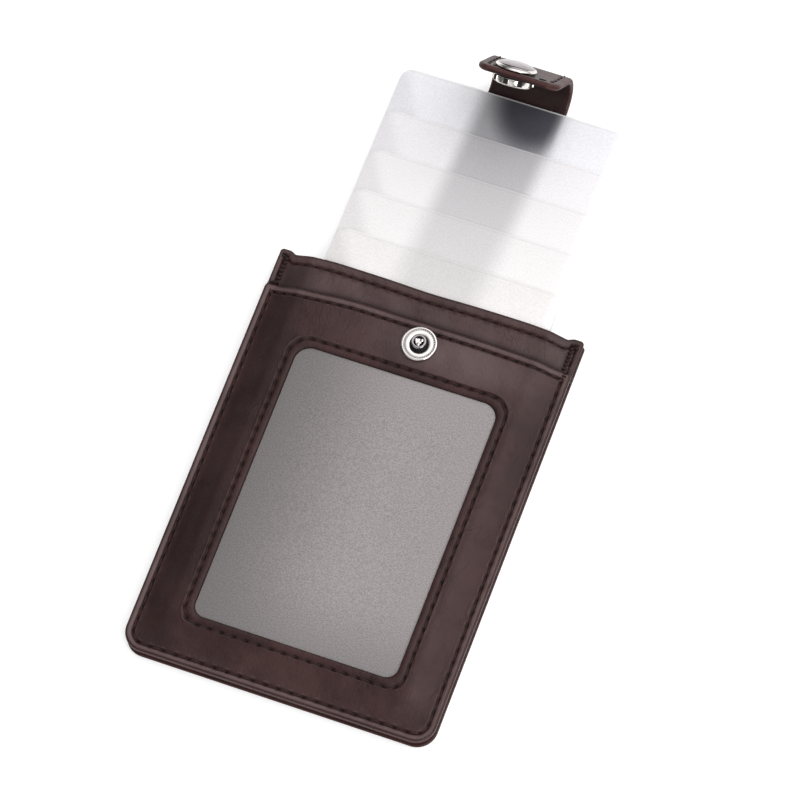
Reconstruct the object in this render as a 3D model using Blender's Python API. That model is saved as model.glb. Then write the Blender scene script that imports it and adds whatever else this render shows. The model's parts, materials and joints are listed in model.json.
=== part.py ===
"""Slim card wallet: a leather case, five pull-out film sleeves and a snap strap.

The wallet lies on its back with its front up. X runs across it, Y runs towards
its open mouth and the pull strap, and Z runs up. The origin is the centre of the
back face. Sleeves and strap are drawn out in steps, and the strap's tip curls up.
"""

import math

import bmesh
import bpy
from mathutils import Matrix, Vector

MM = 0.001

# Cards and the film sleeves that hold them upright.
CARD_WIDTH = 54.0 * MM
CARD_LENGTH = 85.6 * MM
SLEEVE_COUNT = 5
SLEEVE_FILM_THICKNESS = 0.1 * MM
SLEEVE_SLOT = 0.1 * MM
SLEEVE_WELD = 2.6 * MM
SLEEVE_FOOT = 8.4 * MM
SLEEVE_STEP = 11.4 * MM
FIRST_SLEEVE_EXTRA = 0.9 * MM
SLEEVE_CORNER_RADIUS = 3.3 * MM
SLEEVE_FOOT_RADIUS = 1.5 * MM
SLEEVE_OFFSET = 1.2 * MM
LAST_SLEEVE_REACH = 9.5 * MM
SLEEVE_RECESS = 0.1 * MM

# The leather case.
SIDE_MARGIN = 10.4 * MM
LENGTH_MARGIN = 16.0 * MM
BOTTOM_CORNER_RADIUS = 5.2 * MM
MOUTH_CORNER_RADIUS = 1.6 * MM
LEAST_RADIUS = 0.4 * MM
BACK_THICKNESS = 1.0 * MM
EDGE_ROUNDING = 0.5 * MM
LINING_THICKNESS = 0.25 * MM
LINING_MOUTH_INSET = 1.2 * MM
WELT_THICKNESS = 1.6 * MM
WELT_WIDTH = 3.6 * MM
WELT_ROUNDING = 0.3 * MM
INNER_INSET = 0.4 * MM
INNER_THICKNESS = 0.8 * MM
WINDOW_PANEL_THICKNESS = 0.9 * MM
WINDOW_PANEL_DROP = 8.9 * MM
CROWN_FOOT_INSET = 2.6 * MM
CROWN_SIDE_CLEARANCE = 0.4 * MM
CROWN_BOTTOM_RUN = 5.2 * MM

# The turned edge of the window panel, and the seams.
BAND_HEIGHT = 0.3 * MM
BAND_MOUTH_SHARE = 0.15
SEAM_INSET = 1.9 * MM
SEAM_DEPTH = 0.12 * MM
HEM_SHARE = 0.95

# The window, its film and the rebate that holds the film.
WINDOW_SIDE_MARGIN = 13.85 * MM
WINDOW_FOOT_MARGIN = 12.5 * MM
WINDOW_HEAD_MARGIN = 14.9 * MM
WINDOW_OFFSET = 0.5 * MM
WINDOW_FOOT_RADIUS = 3.0 * MM
WINDOW_HEAD_RADIUS = 4.0 * MM
WINDOW_SEAM_OFFSET = 2.2 * MM
WINDOW_LIP = 0.1 * MM
FILM_THICKNESS = 0.2 * MM
FILM_MARGIN = 3.0 * MM
FILM_LIFT = 0.05 * MM
REBATE_DEPTH = 0.45 * MM

# Clearances.
FILM_GAP = 0.2 * MM
PANEL_GAP = 0.25 * MM
SEAM_GAP = 0.3 * MM
OVERRUN = 1.0 * MM
WELD_DISTANCE = 0.001 * MM

# Bar tacks at the ends of the mouth.
TACK_WIDTH = 2.9 * MM
TACK_LENGTH = 6.8 * MM
TACK_THICKNESS = 0.5 * MM
TACK_INSET = 1.0 * MM
TACK_RADIUS = 1.1 * MM

# The pull strap and its curled tip.
STRAP_WIDTH = 20.8 * MM
STRAP_THICKNESS = 1.0 * MM
STRAP_OFFSET = 4.2 * MM
STRAP_FOOT = 2.0 * MM
STRAP_FOOT_OFFSET = -1.5 * MM
STRAP_REACH = 0.9 * MM
TIP_WIDTH = 22.2 * MM
TIP_LAYER = 0.7 * MM
TIP_CORNER_RADIUS = 3.5 * MM
TIP_START_ANGLE = math.radians(3.0)
LOWER_BEND_ANGLE = math.radians(62.0)
LOWER_BEND_RADIUS = 5.3 * MM
UPPER_BEND_ANGLE = math.radians(58.4)
UPPER_BEND_RADIUS = 8.3 * MM
TIP_STRAIGHT = 14.4 * MM
TIP_EDGE = 0.18 * MM
KNUCKLE_CLEARANCE = 0.6 * MM

# The snap: cap and socket on the strap, stud and eyelet on the window panel.
CAP_RADIUS = 5.3 * MM
CAP_RIM = 0.35 * MM
CAP_DOME = 1.0 * MM
CAP_SETBACK = 6.0 * MM
CAP_SIDE_OFFSET = -1.9 * MM
BARREL_RADIUS = 1.2 * MM
BARREL_CLEARANCE = 0.3 * MM
SOCKET_RADIUS = 5.0 * MM
SOCKET_BASE = 0.6 * MM
SOCKET_WALL = 0.7 * MM
SOCKET_BORE_RADIUS = 2.15 * MM
STUD_RADIUS = 4.5 * MM
STUD_FLANGE = 0.6 * MM
STUD_HEAD_RADIUS = 1.85 * MM
STUD_WAIST_RADIUS = 1.55 * MM
STUD_BORE_RADIUS = 1.0 * MM
EYELET_RADIUS = 2.8 * MM
EYELET_THICKNESS = 0.3 * MM
EYELET_BARREL_RADIUS = 0.75 * MM
SEAT_GAP = 0.25 * MM

# Facets.
CORNER_STEPS = 6
ACROSS_SHARES = (0.02, 0.04, 0.06, 0.08, 0.1, 0.5, 0.9, 0.92, 0.94, 0.96, 0.98)
ALONG_SHARES = (0.25, 0.5, 0.75)
TURNED_STEPS = 28
BEND_STEPS = 7
STRAIGHT_STEPS = 3

# Sizes of the case, which follow the cards.
SLEEVE_WIDTH = CARD_WIDTH + 2 * SLEEVE_WELD
SLEEVE_LENGTH = CARD_LENGTH + SLEEVE_FOOT
CASE_WIDTH = SLEEVE_WIDTH + 2 * SIDE_MARGIN
CASE_LENGTH = SLEEVE_LENGTH + LENGTH_MARGIN
MOUTH = CASE_LENGTH / 2

# Heights of the layers, from the back up.
LINING_BOTTOM = BACK_THICKNESS + FILM_GAP
STRAP_BOTTOM = LINING_BOTTOM + LINING_THICKNESS + FILM_GAP
STRAP_MIDDLE = STRAP_BOTTOM + STRAP_THICKNESS / 2
STRAP_TOP = STRAP_BOTTOM + STRAP_THICKNESS
SLEEVE_PITCH = 2 * SLEEVE_FILM_THICKNESS + SLEEVE_SLOT + FILM_GAP
STACK_TOP = STRAP_TOP + SLEEVE_COUNT * SLEEVE_PITCH
WELT_BOTTOM = BACK_THICKNESS + SEAM_GAP
INNER_EDGE_BOTTOM = WELT_BOTTOM + WELT_THICKNESS + SEAM_GAP
CROWN = STACK_TOP + PANEL_GAP - INNER_EDGE_BOTTOM
WINDOW_EDGE_BOTTOM = INNER_EDGE_BOTTOM + INNER_THICKNESS + PANEL_GAP
WINDOW_PANEL_TOP = WINDOW_EDGE_BOTTOM + CROWN + WINDOW_PANEL_THICKNESS

# Where the sleeves and the strap lie.
LAST_SLEEVE_TOP = MOUTH + LAST_SLEEVE_REACH
FIRST_SLEEVE_TOP = LAST_SLEEVE_TOP + (SLEEVE_COUNT - 1) * SLEEVE_STEP + FIRST_SLEEVE_EXTRA
PULL_TRAVEL = FIRST_SLEEVE_TOP - (MOUTH - SLEEVE_RECESS)
FOLD_Y = FIRST_SLEEVE_TOP + STRAP_REACH
TIP_ANGLE = TIP_START_ANGLE + LOWER_BEND_ANGLE + UPPER_BEND_ANGLE
TIP_THICKNESS = 2 * TIP_LAYER + FILM_GAP
TIP_LENGTH = (
    LOWER_BEND_RADIUS * LOWER_BEND_ANGLE
    + UPPER_BEND_RADIUS * UPPER_BEND_ANGLE
    + TIP_STRAIGHT
)
SNAP_X = STRAP_OFFSET + CAP_SIDE_OFFSET

CROWN_FOOT_SHARES = (0.0, 0.25, 0.5, 0.75, 1.0)
LEATHER = ("strap_leather", (0.045, 0.022, 0.020), 0.38, 0.0)
PANEL_LEATHER = ("case_leather", (0.062, 0.033, 0.030), 0.34, 0.0)
LINING_CLOTH = ("lining_cloth", (0.030, 0.018, 0.016), 0.85, 0.0)
SLEEVE_FILM = ("sleeve_film", (0.82, 0.82, 0.84), 0.45, 0.0)
WINDOW_FILM = ("window_film", (0.32, 0.30, 0.29), 0.50, 0.0)
THREAD = ("thread", (0.030, 0.014, 0.012), 0.60, 0.0)
NICKEL = ("polished_nickel", (0.72, 0.70, 0.68), 0.12, 1.0)


def clear_scene():
    """Remove whatever the scene holds."""
    for obj in list(bpy.data.objects):
        bpy.data.objects.remove(obj, do_unlink=True)


def material(finish):
    """The Principled material of a finish, made once."""
    name, colour, roughness, metallic = finish
    found = bpy.data.materials.get(name)
    if found:
        return found
    made = bpy.data.materials.new(name)
    made.use_nodes = True
    shader = made.node_tree.nodes["Principled BSDF"]
    shader.inputs["Base Color"].default_value = (*colour, 1.0)
    shader.inputs["Roughness"].default_value = roughness
    shader.inputs["Metallic"].default_value = metallic
    return made


def joint_empty(name, location, parent=None):
    """An empty on a joint's axis, which carries the pieces that move with it."""
    empty = bpy.data.objects.new(name, None)
    bpy.context.collection.objects.link(empty)
    empty.parent = parent
    empty.location = Vector(location) - world_location(parent)
    return empty


def world_location(obj):
    """Where an unturned chain of parents puts an object's origin."""
    place = Vector((0, 0, 0))
    while obj:
        place += obj.location
        obj = obj.parent
    return place


def finish_piece(name, bm, look, origin, parent=None, turn=0.0, local=False):
    """Make a named object of a bmesh, with its origin at a point in the world.

    The bmesh is in world places, or in the piece's own frame where local is set.
    """
    bmesh.ops.recalc_face_normals(bm, faces=bm.faces)
    if not local:
        bmesh.ops.translate(bm, verts=bm.verts, vec=-Vector(origin))
    mesh = bpy.data.meshes.new(name)
    bm.to_mesh(mesh)
    bm.free()
    obj = bpy.data.objects.new(name, mesh)
    bpy.context.collection.objects.link(obj)
    obj.parent = parent
    obj.location = Vector(origin) - world_location(parent)
    obj.rotation_euler = (turn, 0, 0)
    mesh.materials.append(material(look))
    mesh.shade_smooth()
    mesh.set_sharp_from_angle(angle=math.radians(35))
    return obj


def cutter(name, bm, origin, parent=None, turn=0.0):
    """A helper that cuts a piece and isn't part of the wallet."""
    obj = finish_piece(name, bm, THREAD, origin, parent, turn, local=True)
    obj.hide_render = True
    obj.display_type = "WIRE"
    return obj


def cut(obj, tool):
    """Take the tool's shape out of a piece."""
    modifier = obj.modifiers.new(tool.name, "BOOLEAN")
    modifier.operation = "DIFFERENCE"
    modifier.solver = "EXACT"
    modifier.object = tool


def outline(x_low, x_high, y_low, y_high, low_radius, high_radius):
    """Points round a rectangle with round corners, as many for any size."""
    low = max(low_radius, LEAST_RADIUS)
    high = max(high_radius, LEAST_RADIUS)
    corners = (
        (x_low + low, y_low + low, low, math.pi),
        (x_high - low, y_low + low, low, 1.5 * math.pi),
        (x_high - high, y_high - high, high, 0.0),
        (x_low + high, y_high - high, high, 0.5 * math.pi),
    )
    arcs = []
    for x, y, radius, start in corners:
        turns = [start + 0.5 * math.pi * i / CORNER_STEPS for i in range(CORNER_STEPS + 1)]
        arcs.append([(x + radius * math.cos(a), y + radius * math.sin(a)) for a in turns])
    points = []
    for index, arc in enumerate(arcs):
        points += arc
        (x0, y0), (x1, y1) = arc[-1], arcs[(index + 1) % 4][0]
        for share in ALONG_SHARES if index % 2 else ACROSS_SHARES:
            points.append((x0 + (x1 - x0) * share, y0 + (y1 - y0) * share))
    return points


def case_outline(inset, mouth_inset, mouth=MOUTH):
    """The case's outline drawn in by an inset, with its own inset at the mouth."""
    half = CASE_WIDTH / 2 - inset
    return outline(
        -half,
        half,
        -CASE_LENGTH / 2 + inset,
        mouth - mouth_inset,
        BOTTOM_CORNER_RADIUS - inset,
        MOUTH_CORNER_RADIUS - inset,
    )


def window_outline(offset):
    """The window's outline grown by an offset."""
    half = CASE_WIDTH / 2 - WINDOW_SIDE_MARGIN + offset
    return outline(
        WINDOW_OFFSET - half,
        WINDOW_OFFSET + half,
        -CASE_LENGTH / 2 + WINDOW_FOOT_MARGIN - offset,
        MOUTH - WINDOW_PANEL_DROP - WINDOW_HEAD_MARGIN + offset,
        WINDOW_FOOT_RADIUS + offset,
        WINDOW_HEAD_RADIUS + offset,
    )


def smooth_step(share):
    """A smooth rise from 0 to 1."""
    share = min(max(share, 0.0), 1.0)
    return share * share * (3 - 2 * share)


def crown_run():
    """How wide the slope is between a panel's seam and the stack of sleeves."""
    raised = SLEEVE_WIDTH / 2 + SLEEVE_OFFSET + CROWN_SIDE_CLEARANCE
    return CASE_WIDTH / 2 - CROWN_FOOT_INSET - raised


def crown_height(x, y):
    """How far the sleeves lift a front panel above its sewn edge."""
    side = (CASE_WIDTH / 2 - CROWN_FOOT_INSET - abs(x)) / crown_run()
    foot = (y + CASE_LENGTH / 2 - CROWN_FOOT_INSET) / CROWN_BOTTOM_RUN
    return CROWN * smooth_step(side) * smooth_step(foot)


def raised_ring(points, height):
    """A ring of points laid on the crowned surface at a height."""
    return [(x, y, height + crown_height(x, y)) for x, y in points]


def flat_ring(points, height):
    """A ring of points at one height."""
    return [(x, y, height) for x, y in points]


def loft(rings, joined=False):
    """Skin a row of rings with as many points each, capped or joined end to end."""
    bm = bmesh.new()
    loops = [[bm.verts.new(point) for point in ring] for ring in rings]
    pairs = list(zip(loops, loops[1:]))
    if joined:
        pairs.append((loops[-1], loops[0]))
    else:
        bm.faces.new(reversed(loops[0]))
        bm.faces.new(loops[-1])
    for low, high in pairs:
        for i in range(len(low)):
            j = (i + 1) % len(low)
            bm.faces.new((low[i], low[j], high[j], high[i]))
    return bm


def turned(profile):
    """Spin a closed profile of radii and heights round the Z axis."""
    bm = bmesh.new()
    verts = [bm.verts.new((radius, 0, height)) for radius, height in profile]
    edges = [bm.edges.new(pair) for pair in zip(verts, verts[1:])]
    if profile[0][0] > 0:
        edges.append(bm.edges.new((verts[-1], verts[0])))
    bmesh.ops.spin(
        bm,
        geom=verts + edges,
        axis=(0, 0, 1),
        cent=(0, 0, 0),
        dvec=(0, 0, 0),
        angle=2 * math.pi,
        steps=TURNED_STEPS,
        use_merge=True,
    )
    bmesh.ops.remove_doubles(bm, verts=bm.verts, dist=WELD_DISTANCE)
    return bm


def drum(radius, low, high):
    """A plain round bar along Z, for cutting bores."""
    return turned(((0, low), (radius, low), (radius, high), (0, high)))


def add_back_panel():
    """The outer leather back, with a rounded turned edge."""
    half = EDGE_ROUNDING
    rings = []
    for step in range(5):
        angle = math.pi * step / 4
        inset = half * (1 - math.sin(angle))
        height = BACK_THICKNESS / 2 * (1 - math.cos(angle))
        rings.append(flat_ring(case_outline(inset, inset), height))
    finish_piece("back_panel", loft(rings), PANEL_LEATHER, (0, 0, 0))


def add_back_lining():
    """The cloth that lines the back panel, inside the welt."""
    inset = INNER_INSET + WELT_WIDTH + SEAM_GAP
    ring = case_outline(inset, LINING_MOUTH_INSET)
    rings = [flat_ring(ring, LINING_BOTTOM), flat_ring(ring, LINING_BOTTOM + LINING_THICKNESS)]
    finish_piece("back_lining", loft(rings), LINING_CLOTH, (0, 0, LINING_BOTTOM))


def add_welt():
    """The strip of leather between back and front, round three sides."""
    bm = bmesh.new()
    corner_points = 2 * (CORNER_STEPS + 1) + len(ACROSS_SHARES)
    end = MOUTH - MOUTH_CORNER_RADIUS

    def open_run(inset):
        run = case_outline(inset, inset)[:corner_points]
        return [(run[0][0], end), *run, (run[-1][0], end)]

    outer = open_run(INNER_INSET)
    inner = open_run(INNER_INSET + WELT_WIDTH)
    face = bm.faces.new([bm.verts.new((x, y, WELT_BOTTOM)) for x, y in outer + inner[::-1]])
    made = bmesh.ops.extrude_face_region(bm, geom=[face])
    lifted = [item for item in made["geom"] if isinstance(item, bmesh.types.BMVert)]
    bmesh.ops.translate(bm, verts=lifted, vec=(0, 0, WELT_THICKNESS))
    welt = finish_piece("edge_welt", bm, PANEL_LEATHER, (0, 0, WELT_BOTTOM))
    rounding = welt.modifiers.new("rounding", "BEVEL")
    rounding.width = WELT_ROUNDING
    rounding.segments = 2
    rounding.limit_method = "ANGLE"
    rounding.angle_limit = math.radians(60)


def crown_insets():
    """The insets at which a panel's rings follow the crown."""
    return [CROWN_FOOT_INSET + crown_run() * share for share in CROWN_FOOT_SHARES]


def add_inner_panel():
    """The front wall of the sleeve pocket, arched over the stack of sleeves."""
    bottom = INNER_EDGE_BOTTOM
    top = bottom + INNER_THICKNESS
    slopes = [(inset, inset * HEM_SHARE) for inset in crown_insets()]
    rounded = EDGE_ROUNDING
    edge = INNER_INSET
    rings = [raised_ring(case_outline(*pair), bottom) for pair in reversed(slopes)]
    rings.append(raised_ring(case_outline(edge + rounded, rounded), bottom))
    for step in range(1, 4):
        angle = math.pi * step / 4
        inset = rounded * (1 - math.sin(angle))
        height = bottom + INNER_THICKNESS / 2 * (1 - math.cos(angle))
        rings.append(raised_ring(case_outline(edge + inset, inset), height))
    rings.append(raised_ring(case_outline(edge + rounded, rounded), top))
    rings += [raised_ring(case_outline(*pair), top) for pair in slopes]
    finish_piece("inner_panel", loft(rings), PANEL_LEATHER, (0, 0, bottom))


def window_panel_ring(inset, height, head_inset=None):
    """A ring of the window panel, whose turned edge is lower along its hem."""
    head = inset * HEM_SHARE if head_inset is None else head_inset
    mouth = MOUTH - WINDOW_PANEL_DROP
    points = case_outline(inset, head, mouth)
    thickness = WINDOW_PANEL_THICKNESS
    raise_above = max(height - thickness, 0.0)
    ring = []
    for x, y in points:
        near_hem = smooth_step((y - mouth + 2 * SEAM_INSET) / SEAM_INSET)
        share = 1.0 - (1.0 - BAND_MOUTH_SHARE) * near_hem
        level = min(height, thickness) + raise_above * share
        ring.append((x, y, WINDOW_EDGE_BOTTOM + level + crown_height(x, y)))
    return ring


def add_window_panel():
    """The front panel: a raised turned edge, sunk seams and the window with its rebate."""
    thick = WINDOW_PANEL_THICKNESS
    band = thick + BAND_HEIGHT
    rounded = EDGE_ROUNDING
    seam = SEAM_INSET
    insets = crown_insets()
    head_room = WINDOW_HEAD_MARGIN - WINDOW_SEAM_OFFSET - SEAM_GAP
    heads = [seam + (head_room - seam) * share for share in CROWN_FOOT_SHARES]
    slopes = list(zip(insets, heads))[:-1]
    edge_profile = (
        (rounded, 0.0),
        (rounded * 0.15, thick * 0.25),
        (0.0, thick * 0.55),
        (rounded * 0.3, thick),
        (rounded * 1.3, band),
        (seam * 0.62, band),
        (seam * 0.85, thick),
        (seam, thick - SEAM_DEPTH),
        (seam + SEAM_DEPTH * 3, thick),
    )
    rings = [window_panel_ring(inset, height) for inset, height in edge_profile]
    rings += [window_panel_ring(inset, thick, head) for inset, head in slopes[1:]]
    stitched = WINDOW_SEAM_OFFSET
    lip = thick + WINDOW_LIP
    window_profile = (
        (stitched + SEAM_DEPTH * 4, thick),
        (stitched, thick - SEAM_DEPTH),
        (stitched * 0.8, lip),
        (rounded, lip),
        (rounded * 0.25, thick * 0.85),
        (0.0, REBATE_DEPTH + SEAM_DEPTH),
        (0.0, REBATE_DEPTH),
        (FILM_MARGIN + FILM_GAP, REBATE_DEPTH),
        (FILM_MARGIN + FILM_GAP, 0.0),
    )
    for offset, height in window_profile:
        rings.append(raised_ring(window_outline(offset), WINDOW_EDGE_BOTTOM + height))
    rings += [window_panel_ring(inset, 0.0, head) for inset, head in reversed(slopes[1:])]
    rings.append(window_panel_ring(seam, 0.0))
    panel = finish_piece(
        "window_panel", loft(rings, joined=True), PANEL_LEATHER, (0, 0, WINDOW_EDGE_BOTTOM)
    )
    x, y, z = stud_seat()
    low = WINDOW_EDGE_BOTTOM + CROWN
    eyelet_top = FILM_LIFT + EYELET_THICKNESS + FILM_GAP
    recess = drum(EYELET_RADIUS + SEAM_GAP, low - z - OVERRUN, low + eyelet_top - z)
    bore = drum(EYELET_BARREL_RADIUS + SEAM_GAP, low - z - OVERRUN, OVERRUN)
    cut(panel, cutter("eyelet_recess", recess, (x, y, z)))
    cut(panel, cutter("stud_bore", bore, (x, y, z)))


def add_window_film():
    """The frosted film behind the window, in the panel's rebate."""
    low = WINDOW_EDGE_BOTTOM + CROWN + FILM_LIFT
    ring = window_outline(FILM_MARGIN)
    rings = [flat_ring(ring, low), flat_ring(ring, low + FILM_THICKNESS)]
    finish_piece("window_film", loft(rings), WINDOW_FILM, (WINDOW_OFFSET, 0, low))


def add_bar_tack(name, side):
    """The wrapped stitches that close one end of the mouth."""
    centre = side * (CASE_WIDTH / 2 - TACK_INSET - TACK_WIDTH / 2)
    high = MOUTH - TACK_INSET
    low = INNER_EDGE_BOTTOM + INNER_THICKNESS + FILM_GAP
    levels = ((0.0, 0.0), (0.0, 0.5), (0.3, 0.85), (0.7, 1.0))
    rings = []
    for inset_share, height_share in levels:
        inset = TACK_THICKNESS * inset_share
        half = TACK_WIDTH / 2 - inset
        radius = TACK_RADIUS - inset
        ring = outline(
            centre - half,
            centre + half,
            high - TACK_LENGTH + inset,
            high - inset,
            radius,
            radius,
        )
        lifted = [(x, y, low + TACK_THICKNESS * height_share + crown_height(x, y)) for x, y in ring]
        rings.append(lifted)
    finish_piece(name, loft(rings), THREAD, (centre, high - TACK_LENGTH / 2, low))


def sleeve_top(index):
    """Where a sleeve's open end is. The first, which the strap draws, reaches out a little more."""
    if index == 0:
        return FIRST_SLEEVE_TOP
    return LAST_SLEEVE_TOP + (SLEEVE_COUNT - 1 - index) * SLEEVE_STEP


def add_sleeve(index, parent):
    """One sleeve's back film and front film, with the card slot between them."""
    top = sleeve_top(index)
    half = SLEEVE_WIDTH / 2
    ring = outline(
        SLEEVE_OFFSET - half,
        SLEEVE_OFFSET + half,
        top - SLEEVE_LENGTH,
        top,
        SLEEVE_FOOT_RADIUS,
        SLEEVE_CORNER_RADIUS,
    )
    low = STRAP_TOP + FILM_GAP + index * SLEEVE_PITCH
    for side in ("back", "front"):
        rings = [flat_ring(ring, low), flat_ring(ring, low + SLEEVE_FILM_THICKNESS)]
        place = (SLEEVE_OFFSET, top, low)
        finish_piece(f"sleeve_{index + 1}_{side}", loft(rings), SLEEVE_FILM, place, parent)
        low += SLEEVE_FILM_THICKNESS + SLEEVE_SLOT


def add_strap_run(parent):
    """The flat strap behind the sleeves, which ends in a round edge at the fold."""
    radius = STRAP_THICKNESS / 2
    foot = FIRST_SLEEVE_TOP - SLEEVE_LENGTH + STRAP_FOOT
    section = [(foot, STRAP_BOTTOM)]
    for step in range(9):
        angle = math.pi * (step / 8 - 0.5)
        section.append((FOLD_Y + radius * math.cos(angle), STRAP_MIDDLE + radius * math.sin(angle)))
    section.append((foot, STRAP_TOP))
    half = STRAP_WIDTH / 2
    lean = (STRAP_OFFSET - STRAP_FOOT_OFFSET) / (FOLD_Y - foot)

    def side(edge):
        return [(edge - lean * (FOLD_Y - y), y, z) for y, z in section]

    rings = [side(STRAP_OFFSET - half), side(STRAP_OFFSET + half)]
    finish_piece("strap_run", loft(rings), LEATHER, (STRAP_OFFSET, FOLD_Y, STRAP_MIDDLE), parent)


def tip_point(along):
    """Where the middle of the tip's leather lies, and its slope, at a length from the fold."""
    lower = LOWER_BEND_RADIUS * LOWER_BEND_ANGLE
    upper = UPPER_BEND_RADIUS * UPPER_BEND_ANGLE
    slope = TIP_START_ANGLE + min(along, lower) / LOWER_BEND_RADIUS
    y = LOWER_BEND_RADIUS * (math.sin(slope) - math.sin(TIP_START_ANGLE))
    z = LOWER_BEND_RADIUS * (math.cos(TIP_START_ANGLE) - math.cos(slope))
    if along > lower:
        start = slope
        slope = start + min(along - lower, upper) / UPPER_BEND_RADIUS
        y += UPPER_BEND_RADIUS * (math.sin(slope) - math.sin(start))
        z += UPPER_BEND_RADIUS * (math.cos(start) - math.cos(slope))
    straight = along - lower - upper
    if straight > 0:
        y += straight * math.cos(slope)
        z += straight * math.sin(slope)
    return y, z, slope


def tip_rows():
    """Lengths from the fold and half widths of the tip's cross sections."""
    lower = LOWER_BEND_RADIUS * LOWER_BEND_ANGLE
    upper = UPPER_BEND_RADIUS * UPPER_BEND_ANGLE
    rows = [lower * i / BEND_STEPS for i in range(BEND_STEPS)]
    rows += [lower + upper * i / BEND_STEPS for i in range(BEND_STEPS)]
    plain = TIP_STRAIGHT - TIP_CORNER_RADIUS
    rows += [lower + upper + plain * i / STRAIGHT_STEPS for i in range(STRAIGHT_STEPS)]

    def half_width(along):
        return (STRAP_WIDTH + (TIP_WIDTH - STRAP_WIDTH) * along / TIP_LENGTH) / 2

    sized = [(along, half_width(along)) for along in rows]
    for step in range(CORNER_STEPS + 1):
        angle = 0.5 * math.pi * step / CORNER_STEPS
        along = TIP_LENGTH - TIP_CORNER_RADIUS * (1 - math.sin(angle))
        sized.append((along, half_width(along) - TIP_CORNER_RADIUS * (1 - math.cos(angle))))
    return sized


def tip_layer(low, high):
    """A bmesh of one leather of the tip, between two offsets from its middle."""
    edge = TIP_EDGE
    rings = []
    for along, half in tip_rows():
        y, z, slope = tip_point(along)
        section = (
            (-half, low + edge),
            (-half + edge, low),
            (half - edge, low),
            (half, low + edge),
            (half, high - edge),
            (half - edge, high),
            (-half + edge, high),
            (-half, high - edge),
        )
        ring = []
        for across, offset in section:
            at_y = FOLD_Y + y - offset * math.sin(slope)
            at_z = STRAP_MIDDLE + z + offset * math.cos(slope)
            ring.append((STRAP_OFFSET + across, at_y, at_z))
        rings.append(ring)
    return loft(rings)


def snap_point(offset):
    """The snap's axis on the tip, at an offset from the middle of the leather."""
    y, z, slope = tip_point(TIP_LENGTH - CAP_SETBACK)
    at_y = FOLD_Y + y - offset * math.sin(slope)
    at_z = STRAP_MIDDLE + z + offset * math.cos(slope)
    return SNAP_X, at_y, at_z


def closed_snap(offset):
    """Where that point lies once the strap is pushed in and its tip folded over."""
    _, y, z = snap_point(offset)
    turn = math.pi - TIP_ANGLE
    along = y - FOLD_Y
    above = z - STRAP_MIDDLE
    at_y = FOLD_Y - PULL_TRAVEL + along * math.cos(turn) - above * math.sin(turn)
    at_z = STRAP_MIDDLE + along * math.sin(turn) + above * math.cos(turn)
    return SNAP_X, at_y, at_z


def stud_seat():
    """The point of the window panel's face that the stud stands on."""
    x, y, _ = closed_snap(0.0)
    return x, y, WINDOW_PANEL_TOP


def socket_height():
    """The height of the socket, which fills the closed snap down to the stud's flange."""
    _, _, inner_face = closed_snap(TIP_THICKNESS / 2)
    flange_top = WINDOW_PANEL_TOP + SEAT_GAP + STUD_FLANGE
    return inner_face - flange_top - 2 * SEAT_GAP


def add_tip(parent):
    """The curled tip: an outer leather and a lining leather, bored for the snap."""
    outer = tip_layer(-TIP_THICKNESS / 2, -FILM_GAP / 2)
    lining = tip_layer(FILM_GAP / 2, TIP_THICKNESS / 2)
    place = (STRAP_OFFSET, FOLD_Y, STRAP_MIDDLE)
    pieces = (
        finish_piece("strap_tip_outer", outer, LEATHER, place, parent),
        finish_piece("strap_tip_lining", lining, LEATHER, place, parent),
    )
    length = TIP_WIDTH + OVERRUN
    relief_bmesh = drum(STRAP_THICKNESS / 2 + KNUCKLE_CLEARANCE, -length / 2, length / 2)
    bmesh.ops.rotate(relief_bmesh, verts=relief_bmesh.verts, matrix=Matrix.Rotation(math.pi / 2, 3, "Y"))
    relief = cutter("fold_relief", relief_bmesh, place, parent)
    bore_bmesh = drum(BARREL_RADIUS + BARREL_CLEARANCE, -TIP_THICKNESS, TIP_THICKNESS)
    bore = cutter("barrel_bore", bore_bmesh, snap_point(0.0), parent, TIP_ANGLE)
    for piece in pieces:
        cut(piece, relief)
        cut(piece, bore)


def add_snap_cap(parent):
    """The domed cap on the tip's outer face, with the barrel that goes through the leather."""
    low = SEAT_GAP
    rim = low + CAP_RIM
    barrel_end = -(TIP_THICKNESS + SEAT_GAP + SOCKET_BASE / 2)
    profile = [(0, barrel_end), (BARREL_RADIUS, barrel_end), (BARREL_RADIUS, low)]
    profile += [(CAP_RADIUS - CAP_RIM, low), (CAP_RADIUS, low + CAP_RIM / 2), (CAP_RADIUS, rim)]
    dome_steps = 6
    for step in range(1, dome_steps + 1):
        angle = 0.5 * math.pi * step / dome_steps
        profile.append((CAP_RADIUS * math.cos(angle), rim + CAP_DOME * math.sin(angle)))
    profile[-1] = (0, rim + CAP_DOME)
    origin = snap_point(-TIP_THICKNESS / 2)
    finish_piece("snap_cap", turned(profile), NICKEL, origin, parent, TIP_ANGLE + math.pi, local=True)


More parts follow.
